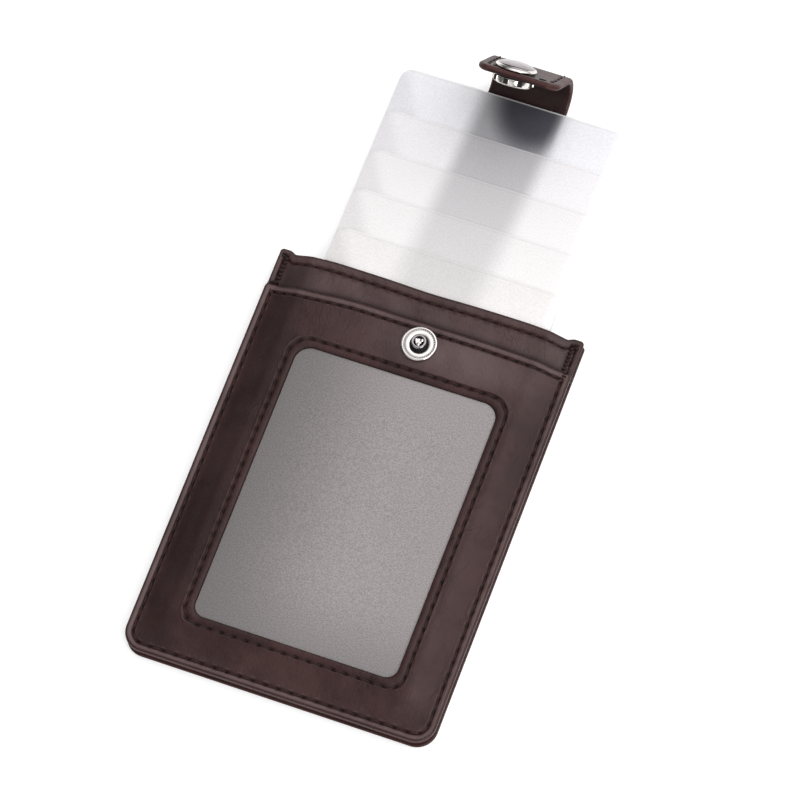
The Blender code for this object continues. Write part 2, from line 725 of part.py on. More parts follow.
def add_snap_socket(parent):
    """The socket on the tip's inner face, whose bore takes the stud's head."""
    low = SEAT_GAP
    high = low + socket_height()
    step = low + SOCKET_BASE
    collar = SOCKET_BORE_RADIUS + SOCKET_WALL
    bore = BARREL_RADIUS + BARREL_CLEARANCE
    rim = SOCKET_RADIUS - SOCKET_WALL
    profile = (
        (bore, low),
        (rim, low),
        (SOCKET_RADIUS, low + SOCKET_WALL / 2),
        (SOCKET_RADIUS, high - SOCKET_WALL),
        (SOCKET_RADIUS - SOCKET_WALL / 2, high - SOCKET_WALL / 3),
        (rim, high - SOCKET_WALL / 2),
        (rim, step),
        (collar, step),
        (collar, high - SOCKET_WALL / 3),
        (collar - SOCKET_WALL / 2, high),
        (SOCKET_BORE_RADIUS, high - SOCKET_WALL / 3),
        (SOCKET_BORE_RADIUS, step),
        (bore, step),
    )
    origin = snap_point(TIP_THICKNESS / 2)
    finish_piece("snap_socket", turned(profile), NICKEL, origin, parent, TIP_ANGLE, local=True)


def add_snap_stud():
    """The stud on the window panel: a dished flange and a headed post with a bore."""
    low = SEAT_GAP
    flange = low + STUD_FLANGE
    top = flange + SEAT_GAP + socket_height() - SOCKET_BASE - SEAT_GAP
    post = top - flange
    dish = STUD_FLANGE / 3
    rolled = STUD_FLANGE / 2
    profile = (
        (STUD_BORE_RADIUS, low),
        (STUD_RADIUS - rolled, low),
        (STUD_RADIUS, low + rolled),
        (STUD_RADIUS - rolled / 2, flange - rolled / 4),
        (STUD_RADIUS - rolled, flange),
        (STUD_RADIUS - 2 * rolled, flange - dish),
        (STUD_WAIST_RADIUS + rolled, flange - dish),
        (STUD_WAIST_RADIUS, flange + post * 0.2),
        (STUD_WAIST_RADIUS, flange + post * 0.4),
        (STUD_HEAD_RADIUS, flange + post * 0.65),
        (STUD_HEAD_RADIUS, flange + post * 0.8),
        (STUD_HEAD_RADIUS - rolled, top),
        (STUD_BORE_RADIUS, top),
    )
    finish_piece("snap_stud", turned(profile), NICKEL, stud_seat(), local=True)


def add_stud_eyelet():
    """The eyelet behind the window panel, whose barrel the stud is crimped on."""
    x, y, top = stud_seat()
    low = WINDOW_EDGE_BOTTOM + CROWN + FILM_LIFT - top
    high = low + EYELET_THICKNESS
    end = SEAT_GAP + STUD_FLANGE + socket_height() - SOCKET_BASE - SEAT_GAP
    profile = (
        (0, low),
        (EYELET_RADIUS, low),
        (EYELET_RADIUS, high),
        (EYELET_BARREL_RADIUS, high),
        (EYELET_BARREL_RADIUS, end),
        (0, end),
    )
    finish_piece("stud_eyelet", turned(profile), NICKEL, (x, y, top), local=True)


def build():
    """Build every piece of the wallet, the fixed ones first."""
    clear_scene()
    add_back_panel()
    add_back_lining()
    add_welt()
    add_inner_panel()
    add_window_panel()
    add_window_film()
    add_bar_tack("bar_tack_left", -1)
    add_bar_tack("bar_tack_right", 1)
    add_snap_stud()
    add_stud_eyelet()
    pull = joint_empty("pull_slide", (STRAP_OFFSET, FOLD_Y, STRAP_MIDDLE))
    fold = joint_empty("tip_fold", (STRAP_OFFSET, FOLD_Y, STRAP_MIDDLE), pull)
    add_strap_run(pull)
    add_sleeve(0, pull)
    for index in range(1, SLEEVE_COUNT):
        place = (SLEEVE_OFFSET, sleeve_top(index), STRAP_TOP)
        slide = joint_empty(f"sleeve_slide_{index + 1}", place)
        add_sleeve(index, slide)
    add_tip(fold)
    add_snap_cap(fold)
    add_snap_socket(fold)


build()
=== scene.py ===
"""Looks of the slim card wallet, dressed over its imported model.

Every piece is built in metres in the model's own frame: X runs across the case, Y towards
its open mouth and Z out of its front.
"""

import json
import logging
import math
from collections.abc import Callable, Iterable, Sequence
from dataclasses import dataclass, field
from enum import Enum
from typing import Any

import bmesh
import bpy
import numpy as np
from mathutils import Matrix, Vector, noise

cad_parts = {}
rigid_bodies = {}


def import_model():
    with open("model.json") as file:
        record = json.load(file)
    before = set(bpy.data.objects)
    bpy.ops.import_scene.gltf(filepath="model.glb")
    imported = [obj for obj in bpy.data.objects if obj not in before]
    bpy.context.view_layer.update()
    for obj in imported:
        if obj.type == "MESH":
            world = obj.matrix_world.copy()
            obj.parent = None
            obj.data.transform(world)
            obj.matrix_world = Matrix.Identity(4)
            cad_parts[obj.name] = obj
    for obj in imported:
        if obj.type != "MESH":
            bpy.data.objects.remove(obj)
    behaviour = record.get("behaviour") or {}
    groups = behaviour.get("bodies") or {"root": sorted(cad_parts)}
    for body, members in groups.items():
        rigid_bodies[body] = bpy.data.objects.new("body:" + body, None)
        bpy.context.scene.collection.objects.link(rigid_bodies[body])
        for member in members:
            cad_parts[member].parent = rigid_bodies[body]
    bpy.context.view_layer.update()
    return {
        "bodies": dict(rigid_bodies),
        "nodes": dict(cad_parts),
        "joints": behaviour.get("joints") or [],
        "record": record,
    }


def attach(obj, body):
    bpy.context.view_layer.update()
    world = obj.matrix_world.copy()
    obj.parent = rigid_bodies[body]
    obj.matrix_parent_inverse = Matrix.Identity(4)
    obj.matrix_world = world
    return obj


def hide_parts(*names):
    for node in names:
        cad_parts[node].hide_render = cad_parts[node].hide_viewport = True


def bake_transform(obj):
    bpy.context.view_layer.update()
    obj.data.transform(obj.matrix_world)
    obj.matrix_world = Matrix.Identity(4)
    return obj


LOG = logging.getLogger("card_wallet")
MM = 0.001
FULL_TURN = 2 * math.pi
QUARTER_TURN = math.pi / 2
SHARP_ANGLE = math.radians(48)
FOLD_Y = 111.9 * MM
WHITE = (1.0, 1.0, 1.0)
Colour = tuple[float, float, float]
Point = tuple[float, float, float]
Socket = bpy.types.NodeSocket


class Body(Enum):
    """The rigid bodies that the pieces ride on."""

    CASE = "case"
    PULL = "pull"
    SECOND = "second_sleeve"
    THIRD = "third_sleeve"
    FOURTH = "fourth_sleeve"
    FIFTH = "fifth_sleeve"
    TIP = "tip"


class Side(Enum):
    """The two sides of the case."""

    LEFT = -1
    RIGHT = 1


# --------------------------------------------------------------------------- node helpers


class NodeSheet:
    """Adds and links the nodes of one node tree."""

    def __init__(self, tree: bpy.types.NodeTree) -> None:
        """Start on a node tree."""
        self.tree = tree

    def feed(self, node: bpy.types.Node, inputs: dict[Any, Any]) -> None:
        """Link or set a node's inputs.

        Args:
            node: The node.
            inputs: Sockets or values, by the input's name or number.
        """
        for key, value in inputs.items():
            if isinstance(value, Socket):
                self.tree.links.new(value, node.inputs[key])
            else:
                node.inputs[key].default_value = value

    def add(self, kind: str, inputs: dict[Any, Any] | None = None, **settings: Any) -> bpy.types.Node:
        """Add a shader node.

        Args:
            kind: The last part of the node's type name.
            inputs: Sockets or values for its inputs.
            settings: The node's own settings.

        Returns:
            The node.
        """
        node = self.tree.nodes.new(f"ShaderNode{kind}")
        for name, value in settings.items():
            setattr(node, name, value)
        self.feed(node, inputs or {})
        return node

    def place(self) -> Socket:
        """The place on the piece, in its own coordinates."""
        return self.add("TexCoord").outputs["Object"]

    def attribute(self, name: str) -> Socket:
        """A value that the mesh carries."""
        return self.add("Attribute", attribute_name=name).outputs["Fac"]

    def maths(self, operation: str, *values: Any, clamp: bool = False) -> Socket:
        """The result of an operation on numbers or sockets."""
        return self.add("Math", dict(enumerate(values)), operation=operation, use_clamp=clamp).outputs[0]

    def spread(self, value: Any, low: Any, high: Any, start: float = 0.0, end: float = 1.0) -> Socket:
        """Map a value smoothly, so that low gives start and high gives end."""
        inputs = {"Value": value, "From Min": low, "From Max": high, "To Min": start, "To Max": end}
        return self.add("MapRange", inputs, interpolation_type="SMOOTHSTEP").outputs["Result"]

    def clouds(
        self, place: Any, scale: Any, detail: float, roughness: float = 0.5, output: str = "Fac"
    ) -> Socket:
        """Soft noise at a place."""
        inputs = {"Vector": place, "Scale": scale, "Detail": detail, "Roughness": roughness}
        return self.add("TexNoise", inputs).outputs[output]

    def mix(self, share: Any, first: Any, second: Any, blend: str = "MIX") -> Socket:
        """Mix two colours.

        Args:
            share: How much of the second colour shows.
            first: A colour or a socket.
            second: A colour or a socket.
            blend: How they mix.

        Returns:
            The mixed colour.
        """
        first, second = (value if isinstance(value, Socket) else (*value, 1.0) for value in (first, second))
        return self.add("Mix", {0: share, 6: first, 7: second}, data_type="RGBA", blend_type=blend).outputs[2]

    def speckle(self, colour: Socket, speck: Socket, gain: float, base: float) -> Socket:
        """Make a colour lighter and darker by specks.

        Args:
            colour: The colour.
            speck: How bright the specks are, from 0 to 1.
            gain: How much the brightest speck adds.
            base: How bright the colour stays where there is no speck.

        Returns:
            The speckled colour.
        """
        grey = self.maths("MULTIPLY_ADD", speck, gain, base)
        made = self.add("CombineColor", {0: grey, 1: grey, 2: grey}).outputs[0]
        return self.mix(1.0, colour, made, "MULTIPLY")

    def bump(self, height: Socket, distance: float, strength: float) -> Socket:
        """The normal of a surface with small heights on it."""
        inputs = {"Strength": strength, "Distance": distance, "Height": height}
        return self.add("Bump", inputs).outputs["Normal"]


def new_group(
    name: str, numbers: dict[str, float], results: Sequence[str]
) -> tuple[NodeSheet, Any, bpy.types.Node]:
    """Start a shader node group that takes a place and some numbers.

    Args:
        name: Its name.
        numbers: Name and default of each number that it takes.
        results: The names of the values that it gives.

    Returns:
        The group's sheet, the sockets that it is given and its output node.
    """
    group = bpy.data.node_groups.new(name, "ShaderNodeTree")
    group.interface.new_socket("Vector", in_out="INPUT", socket_type="NodeSocketVector")
    for label, default in numbers.items():
        socket = group.interface.new_socket(label, in_out="INPUT", socket_type="NodeSocketFloat")
        socket.default_value = default
    for label in results:
        group.interface.new_socket(label, in_out="OUTPUT", socket_type="NodeSocketFloat")
    return NodeSheet(group), group.nodes.new("NodeGroupInput").outputs, group.nodes.new("NodeGroupOutput")


class Effects:
    """The effects that several finishes share, each built once as a node group."""

    @staticmethod
    def grain() -> bpy.types.NodeTree:
        """Fine leather grain with soft creases and mottling.

        Returns:
            The group.
        """
        made = bpy.data.node_groups.get("leather_grain")
        if made:
            return made
        numbers = {"Pore Scale": 2600.0, "Crease Scale": 260.0, "Crease Depth": 0.25}
        sheet, given, result = new_group("leather_grain", numbers, ("Height", "Mottle", "Crease"))
        place = given["Vector"]
        pores = sheet.add("TexVoronoi", {"Vector": place, "Scale": given["Pore Scale"]}).outputs["Distance"]
        bend = sheet.clouds(place, 90.0, 3.0, output="Color")
        bent = sheet.add("VectorMath", {0: bend, 1: (0.008, 0.008, 0.008)}, operation="MULTIPLY").outputs[0]
        moved = sheet.add("VectorMath", {0: place, 1: bent}, operation="ADD").outputs[0]
        drawn = {"Vector": moved, "Rotation": (0.0, 0.0, -0.55), "Scale": (1.0, 0.3, 1.0)}
        folds = sheet.clouds(sheet.add("Mapping", drawn).outputs[0], given["Crease Scale"], 1.0)
        aside = sheet.maths("ABSOLUTE", sheet.maths("SUBTRACT", folds, 0.5))
        line = sheet.spread(aside, 0.0, 0.014, 1.0, 0.0)
        shown = sheet.spread(sheet.clouds(place, 60.0, 2.0), 0.50, 0.66)
        crease = sheet.maths("MULTIPLY", line, shown)
        fine = sheet.maths("MULTIPLY", sheet.clouds(place, 1500.0, 4.0), 0.5)
        height = sheet.maths("MULTIPLY_ADD", pores, 0.25, fine)
        height = sheet.maths("MULTIPLY_ADD", sheet.clouds(place, 160.0, 3.0), 1.6, height)
        height = sheet.maths("SUBTRACT", height, sheet.maths("MULTIPLY", crease, given["Crease Depth"]))
        mottle = sheet.clouds(place, 75.0, 5.0, roughness=0.6)
        sheet.feed(result, {"Height": height, "Mottle": mottle, "Crease": crease})
        return sheet.tree

    @staticmethod
    def frost() -> bpy.types.NodeTree:
        """The fine sparkle of frosted film.

        Returns:
            The group.
        """
        made = bpy.data.node_groups.get("film_frost")
        if made:
            return made
        sheet, given, result = new_group("film_frost", {"Scale": 2400.0}, ("Height", "Speck"))
        fine = sheet.clouds(given["Vector"], given["Scale"], 2.0)
        height = sheet.maths("MULTIPLY_ADD", sheet.clouds(given["Vector"], 60.0, 2.0), 2.0, fine)
        sheet.feed(result, {"Height": height, "Speck": sheet.spread(fine, 0.3, 0.7)})
        return sheet.tree


# --------------------------------------------------------------------------- finishes


@dataclass(frozen=True)
class Finish:
    """A finish that makes its material once."""

    name: str

    def material(self) -> bpy.types.Material:
        """The finish's material.

        Returns:
            The material, made on the first call.
        """
        made = bpy.data.materials.get(self.name)
        if not made:
            made = bpy.data.materials.new(self.name)
            made.use_nodes = True
            self.dress(NodeSheet(made.node_tree), made.node_tree.nodes["Principled BSDF"])
        return made

    def dress(self, sheet: NodeSheet, shader: bpy.types.Node) -> None:
        """Fill in the material's nodes.

        Args:
            sheet: The material's nodes.
            shader: Its Principled shader.
        """

    def put_on(self, obj: bpy.types.Object, *others: "Finish") -> None:
        """Give an object this finish, and others in its further slots.

        Args:
            obj: The object.
            others: The finishes of its second and later slots.
        """
        if obj.data.materials:
            obj.data.materials.clear()
        for look in (self, *others):
            obj.data.materials.append(look.material())


@dataclass(frozen=True)
class Leather(Finish):
    """Polished leather with grain, creases, painted shade in its seams and creases, painted sheen and painted
    edges.
    """

    colour: Colour = (0.0250, 0.0086, 0.0080)
    light_colour: Colour = (0.0440, 0.0180, 0.0172)
    # Colour of the painted shade in seam grooves, needle holes, creases and other shaded places.
    painted_shade_colour: Colour = (0.0090, 0.0024, 0.0021)
    edge_colour: Colour = (0.056, 0.0190, 0.0168)
    # Colour of the painted sheen, mixed with wear, where the leather catches the light.
    worn_colour: Colour = (0.114, 0.074, 0.074)
    roughness: float = 0.38
    shine: float = 0.24
    bump: float = 0.00018
    crease_scale: float = 260.0
    crease_depth: float = 0.25

    def dress(self, sheet: NodeSheet, shader: bpy.types.Node) -> None:
        """Mottled colour, painted shade in seams and creases, painted sheen, painted edges and a grain bump.

        Args:
            sheet: The material's nodes.
            shader: Its Principled shader.
        """
        given = {
            "Vector": sheet.place(),
            "Crease Scale": self.crease_scale,
            "Crease Depth": self.crease_depth,
        }
        grain = sheet.add("Group", given, node_tree=Effects.grain()).outputs
        mottle = grain["Mottle"]
        seam, edge, worn = (sheet.attribute(name) for name in ("seam", "edge", "worn"))
        colour = sheet.mix(sheet.spread(mottle, 0.36, 0.66), self.colour, self.light_colour)
        # Painted shade in the creases.
        colour = sheet.mix(sheet.maths("MULTIPLY", grain["Crease"], 0.55), colour, self.painted_shade_colour)
        colour = sheet.mix(sheet.maths("MULTIPLY", edge, 0.85), colour, self.edge_colour)
        # Painted sheen, with some wear, from the mesh's attribute.
        sheen_and_wear_share = sheet.maths("MULTIPLY", worn, sheet.spread(mottle, 0.25, 0.65, 0.55, 1.0))
        colour = sheet.mix(sheen_and_wear_share, colour, self.worn_colour)
        # Painted shade from the seam attribute: grooves, holes, shaded sides and shadows under and between
        # parts.
        colour = sheet.mix(sheet.maths("MULTIPLY", seam, 0.95), colour, self.painted_shade_colour)
        rough = sheet.maths("MULTIPLY_ADD", mottle, 0.16, self.roughness - 0.08)
        values = {
            "Base Color": colour,
            "Roughness": sheet.maths("MULTIPLY_ADD", seam, 0.25, rough),
            "Normal": sheet.bump(grain["Height"], self.bump, 1.0),
            "Specular IOR Level": self.shine,
        }
        sheet.feed(shader, values)


@dataclass(frozen=True)
class Metal(Finish):
    """Polished plate with faint brushing and haze."""

    colour: Colour = (0.70, 0.67, 0.64)
    dull_colour: Colour = (0.48, 0.45, 0.42)
    roughness: float = 0.15

    def dress(self, sheet: NodeSheet, shader: bpy.types.Node) -> None:
        """A bright metal whose roughness varies a little.

        Args:
            sheet: The material's nodes.
            shader: Its Principled shader.
        """
        place = sheet.place()
        haze = sheet.clouds(place, 700.0, 4.0)
        values = {
            "Base Color": sheet.mix(sheet.spread(haze, 0.45, 0.8, 0.0, 0.5), self.colour, self.dull_colour),
            "Roughness": sheet.maths("MULTIPLY_ADD", haze, 0.14, self.roughness - 0.07),
            "Normal": sheet.bump(sheet.clouds(place, 4200.0, 2.0), 0.000006, 0.4),
            "Metallic": 1.0,
        }
        sheet.feed(shader, values)


@dataclass(frozen=True)
class Thread(Finish):
    """Twisted sewing thread."""

    colour: Colour = (0.010, 0.0040, 0.0034)
    strand_gain: float = 2.6

    def dress(self, sheet: NodeSheet, shader: bpy.types.Node) -> None:
        """A dark thread with slanted strands.

        Args:
            sheet: The material's nodes.
            shader: Its Principled shader.
        """
        turned_place = sheet.add("Mapping", {"Vector": sheet.place(), "Rotation": (0.4, 0.3, 0.8)}).outputs[0]
        waves = {"Vector": turned_place, "Scale": 1100.0, "Distortion": 1.5, "Detail": 1.0}
        strands = sheet.add("TexWave", waves).outputs["Fac"]
        values = {
            "Base Color": sheet.mix(strands, self.colour, tuple(self.strand_gain * c for c in self.colour)),
            "Normal": sheet.bump(strands, 0.00005, 0.8),
            "Roughness": 0.55,
            "Specular IOR Level": 0.25,
        }
        sheet.feed(shader, values)


@dataclass(frozen=True)
class Lining(Finish):
    """Fine woven cloth."""

    colour: Colour = (0.020, 0.012, 0.011)

    def dress(self, sheet: NodeSheet, shader: bpy.types.Node) -> None:
        """Crossed ribs of warp and weft.

        Args:
            sheet: The material's nodes.
            shader: Its Principled shader.
        """
        waves = {"Vector": sheet.place(), "Scale": 900.0, "Distortion": 0.4}
        warp, weft = (sheet.add("TexWave", waves, bands_direction=way).outputs["Fac"] for way in ("X", "Y"))
        weave = sheet.maths("MULTIPLY", warp, weft)
        values = {
            "Base Color": sheet.mix(weave, self.colour, tuple(2.0 * c for c in self.colour)),
            "Normal": sheet.bump(weave, 0.00008, 0.7),
            "Roughness": 0.8,
        }
        sheet.feed(shader, values)


@dataclass(frozen=True)
class WindowFilm(Finish):
    """The frosted grey film behind the window."""

    # Painted shade and painted light: the film's grey is darker to its left and foot, lighter to its right
    # and the mouth.
    dark: Colour = (0.150, 0.136, 0.136)
    light: Colour = (0.318, 0.288, 0.288)

    def dress(self, sheet: NodeSheet, shader: bpy.types.Node) -> None:
        """A grey with painted shading, lighter towards its right and the mouth, with sparkle.

        Args:
            sheet: The material's nodes.
            shader: Its Principled shader.
        """
        place = sheet.place()
        frost = sheet.add("Group", {"Vector": place, "Scale": 3000.0}, node_tree=Effects.frost()).outputs
        parts = sheet.add("SeparateXYZ", {"Vector": place}).outputs
        across = sheet.spread(parts["X"], -29 * MM, 8 * MM)
        along = sheet.spread(parts["Y"], -50 * MM, -22 * MM, 0.30, 1.0)
        colour = sheet.mix(sheet.maths("MULTIPLY", across, along), self.dark, self.light)
        values = {
            "Base Color": sheet.speckle(colour, frost["Speck"], 0.44, 0.78),
            "Normal": sheet.bump(frost["Height"], 0.00002, 0.6),
            "Roughness": 0.42,
            "Transmission Weight": 0.12,
        }
        sheet.feed(shader, values)


@dataclass(frozen=True)
class SleeveFilm(Finish):
    """Frosted film with the strap behind it painted into its colour as a soft dark band."""

    haze: float
    soft: float
    tint: Colour
    top: float
    touch: float = 0.0
    # How strong the painted highlight on the upper edge is; then the colours of the painted strap band and of
    # the painted shade just below the edge.
    rim: float = 0.15
    band: Colour = (0.050, 0.048, 0.064)
    edge_shade_colour: Colour = (0.3, 0.3, 0.32)
    strap_middle: float = 4.15 * MM
    strap_lean: float = 0.0613
    strap_half: float = 10.5 * MM
    touch_middle: float = 7.3 * MM
    touch_reach: tuple[float, float] = (9.8 * MM, 12.0 * MM)

    def dress(self, sheet: NodeSheet, shader: bpy.types.Node) -> None:
        """Near-white film, with a painted dark band where the strap lies behind it, a painted highlight on
        its upper edge and painted shade just below that.

        Args:
            sheet: The material's nodes.
            shader: Its Principled shader.
        """
        place = sheet.place()
        frost = sheet.add("Group", {"Vector": place}, node_tree=Effects.frost()).outputs
        parts = sheet.add("SeparateXYZ", {"Vector": place}).outputs
        x, y = parts["X"], parts["Y"]
        # The strap seen through the film, painted as a soft dark band.
        lean = sheet.maths("MULTIPLY_ADD", y, self.strap_lean, self.strap_middle - self.strap_lean * FOLD_Y)
        aside = sheet.maths("ABSOLUTE", sheet.maths("SUBTRACT", x, lean))
        band = sheet.spread(aside, self.strap_half - self.soft, self.strap_half + self.soft, 1.0, 0.0)
        seen = sheet.maths("MULTIPLY", band, self.haze)
        if self.touch:
            seen = sheet.maths("ADD", seen, self.touching(sheet, x, y), clamp=True)
        colour = sheet.speckle(sheet.mix(seen, self.tint, self.band), frost["Speck"], 0.10, 0.95)
        # Painted highlight along the upper edge, and a little painted shade just below it.
        bright = sheet.spread(y, self.top - 0.42 * MM, self.top - 0.30 * MM)
        grey = sheet.spread(y, self.top - 0.90 * MM, self.top - 0.55 * MM, 0.0, 0.10)
        grey = sheet.maths("MULTIPLY", grey, sheet.maths("SUBTRACT", 1.0, bright))
        colour = sheet.mix(grey, colour, self.edge_shade_colour)
        values = {
            "Base Color": sheet.mix(sheet.maths("MULTIPLY", bright, self.rim), colour, WHITE),
            "Normal": sheet.bump(frost["Height"], 0.000012, 0.5),
            "Roughness": 0.45,
            "Transmission Weight": 0.10,
        }
        sheet.feed(shader, values)

    def touching(self, sheet: NodeSheet, x: Socket, y: Socket) -> Socket:
        """Where the film touches the strap, which is painted darker there.

        Args:
            sheet: The material's nodes.
            x: The place across the sleeve.
            y: The place along it.

        Returns:
            The extra darkness.
        """
        across = sheet.maths("DIVIDE", sheet.maths("SUBTRACT", x, self.touch_middle), self.touch_reach[0])
        along = sheet.maths("DIVIDE", sheet.maths("SUBTRACT", y, self.top), self.touch_reach[1])
        far = sheet.maths("MULTIPLY_ADD", across, across, sheet.maths("MULTIPLY", along, along))
        spot = sheet.spread(far, 0.35, 1.7, self.touch, 0.0)
        aside = sheet.maths("ABSOLUTE", sheet.maths("SUBTRACT", x, self.strap_middle))
        inside = sheet.spread(aside, self.strap_half - 1.2 * MM, self.strap_half + 0.6 * MM, 1.0, 0.0)
        return sheet.maths("MULTIPLY", spot, inside)


@dataclass(frozen=True)
class Studio(Finish):
    """The white floor, which keeps the wallet's shadow."""

    glow: float = 0.45

    def dress(self, sheet: NodeSheet, shader: bpy.types.Node) -> None:
        """White to the camera and in reflections, shaded by what lies on it.

        Args:
            sheet: The material's nodes.
            shader: Its Principled shader.
        """
        path = sheet.add("LightPath").outputs
        seen = sheet.maths("MAXIMUM", path["Is Camera Ray"], path["Is Glossy Ray"])
        seen = sheet.maths("MAXIMUM", seen, path["Is Transmission Ray"])
        values = {
            "Base Color": (0.80, 0.80, 0.80, 1.0),
            "Roughness": 0.9,
            "Specular IOR Level": 0.0,
            "Emission Color": (*WHITE, 1.0),
            "Emission Strength": sheet.maths("MULTIPLY", seen, self.glow),
        }
        sheet.feed(shader, values)


@dataclass(frozen=True)
class Finishes:
    """Every finish of the wallet."""

    case: Leather = Leather("case_leather_polished")
    cut_edge: Leather = Leather(
        "case_leather_cut_edge",
        colour=(0.036, 0.0120, 0.0110),
        light_colour=(0.056, 0.0200, 0.0180),
        roughness=0.60,
        shine=0.0,
    )
    strap: Leather = Leather(
        "strap_leather_painted",
        colour=(0.030, 0.0110, 0.0100),
        light_colour=(0.062, 0.0260, 0.0240),
        edge_colour=(0.068, 0.0215, 0.0190),
        roughness=0.44,
        shine=0.26,
        crease_scale=420.0,
        crease_depth=1.3,
    )
    nickel: Metal = Metal("polished_nickel_plate")
    # Painted shade: a shaded copy of the nickel, and a near-black cloth put in openings where there is only
    # shade.
    cap: Metal = Metal("nickel_painted_shade", (0.32, 0.29, 0.30), (0.21, 0.18, 0.18), 0.17)
    shade_opening: Lining = Lining("opening_painted_shade", (0.006, 0.005, 0.005))
    thread: Thread = Thread("brown_thread")
    sunk_thread: Thread = Thread("brown_thread_sunk", (0.0150, 0.0058, 0.0050))
    lining: Lining = Lining("woven_lining")
    window: WindowFilm = WindowFilm("frosted_window")
    floor: Studio = Studio("studio_floor")
    # From the back to the front: the further the strap lies behind a sleeve, the fainter its painted band.
    sleeves: tuple[SleeveFilm, ...] = (
        SleeveFilm("frosted_sleeve_1", 0.56, 2.8 * MM, (0.95, 0.945, 0.985), 111.0 * MM, 0.40, 0.6),
        SleeveFilm("frosted_sleeve_2", 0.43, 2.6 * MM, (0.97, 0.95, 0.97), 98.7 * MM),
        SleeveFilm("frosted_sleeve_3", 0.34, 3.2 * MM, (0.98, 0.955, 0.965), 87.3 * MM),
        SleeveFilm("frosted_sleeve_4", 0.26, 3.8 * MM, (0.98, 0.955, 0.96), 75.9 * MM),
        SleeveFilm("frosted_sleeve_5", 0.23, 4.4 * MM, (0.96, 0.925, 0.925), 64.5 * MM),
    )


# --------------------------------------------------------------------------- shapes


def smooth(share: np.ndarray | float) -> np.ndarray:
    """A smooth rise from 0 to 1."""
    held = np.clip(share, 0.0, 1.0)
    return held * held * (3 - 2 * held)


def raised(flat: np.ndarray, height: np.ndarray | float) -> np.ndarray:
    """The points of a flat ring, lifted to a height."""
    return np.column_stack([flat, np.broadcast_to(height, len(flat))])


def finish_mesh(
    name: str,
    bm: bmesh.types.BMesh,
    look: Finish,
    body: Body | None,
    stands_for: Sequence[str] = (),
    others: Sequence[Finish] = (),
) -> bpy.types.Object:
    """Turn a bmesh into a piece that rides on a body.

    Args:
        name: The piece's name.
        bm: Its shape, in the model's frame.
        look: Its finish.
        body: The body that it rides on, or nothing, which leaves it on no body.
        stands_for: The CAD nodes that it replaces.
        others: The finishes of its further material slots.

    Returns:
        The piece.
    """
    bmesh.ops.recalc_face_normals(bm, faces=bm.faces)
    mesh = bpy.data.meshes.new(name)
    bm.to_mesh(mesh)
    bm.free()
    mesh.shade_smooth()
    mesh.set_sharp_from_angle(angle=SHARP_ANGLE)
    piece = bpy.data.objects.new(name, mesh)
    bpy.context.scene.collection.objects.link(piece)
    look.put_on(piece, *others)
    if body:
        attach(piece, body.value)
    if stands_for:
        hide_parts(*stands_for)
    LOG.info("%s: %d faces on %s", name, len(mesh.polygons), body.value if body else "a blend")
    return piece


class Loft:
    """Skins rings of points by extruding each ring's edges to the next."""

    def __init__(self, first: np.ndarray, **marks: Any) -> None:
        """Start with a ring.

        Args:
            first: The first ring's points, N by 3.
            marks: Values of the ring's attributes: painted shade, painted edge, and painted sheen with wear.
        """
        self.bm = bmesh.new()
        self.layers = {key: self.bm.verts.layers.float.new(key) for key in ("seam", "edge", "worn")}
        self.ring = bmesh.ops.create_circle(self.bm, segments=len(first), radius=MM)["verts"]
        self.edges = list(self.bm.edges)
        self.first_edges = self.edges
        self._place(first, marks)

    def _place(self, points: np.ndarray, marks: dict[str, Any]) -> None:
        """Move the newest ring to its points and mark it.

        Args:
            points: The points.
            marks: Values of its attributes.
        """
        for vert, point in zip(self.ring, points):
            vert.co = point
        for key, layer in self.layers.items():
            for vert, value in zip(self.ring, np.broadcast_to(marks.get(key, 0.0), len(self.ring))):
                vert[layer] = float(value)

    def add(self, points: np.ndarray, **marks: Any) -> "Loft":
        """Extrude to the next ring.

        Args:
            points: Its points.
            marks: Values of its attributes.

        Returns:
            The loft.
        """
        made = bmesh.ops.extrude_edge_only(self.bm, edges=self.edges)["geom"]
        fresh = {item for item in made if isinstance(item, bmesh.types.BMVert)}
        self.ring = [
            next(e.other_vert(v) for e in v.link_edges if e.other_vert(v) in fresh) for v in self.ring
        ]
        self.edges = [e for e in made if isinstance(e, bmesh.types.BMEdge) and fresh.issuperset(e.verts)]
        self._place(points, marks)
        return self

    def cap(self) -> bmesh.types.BMesh:
        """Fill both ends.

        Returns:
            The closed shape.
        """
        for edges in (self.first_edges, self.edges):
            bmesh.ops.contextual_create(self.bm, geom=edges)
        return self.bm

    def join(self) -> bmesh.types.BMesh:
        """Bridge the last ring to the first, as on a frame."""
        bmesh.ops.bridge_loops(self.bm, edges=list(self.first_edges) + list(self.edges))
        return self.bm


def spin(bm: bmesh.types.BMesh, geom: list[Any], steps: int) -> None:
    """Spin a line a full turn round Z.

    Args:
        bm: The shape that holds it.
        geom: Its points and edges.
        steps: How many steps the spin has.
    """
    bmesh.ops.spin(
        bm,
        geom=geom,
        axis=(0, 0, 1),
        cent=(0, 0, 0),
        dvec=(0, 0, 0),
        angle=FULL_TURN,
        steps=steps,
        use_merge=True,
    )


def turned(profile: Sequence[tuple[float, float]], steps: int = 72) -> bmesh.types.BMesh:
    """Spin a profile round Z.

    Args:
        profile: Radii and heights in millimetres, from the lowest point round to the highest.
        steps: How many steps the spin has.

    Returns:
        The turned shape.
    """
    bm = bmesh.new()
    verts = [bm.verts.new((radius * MM, 0.0, height * MM)) for radius, height in profile]
    spin(bm, verts + [bm.edges.new(pair) for pair in zip(verts, verts[1:])], steps)
    bmesh.ops.remove_doubles(bm, verts=bm.verts, dist=0.001 * MM)
    return bm


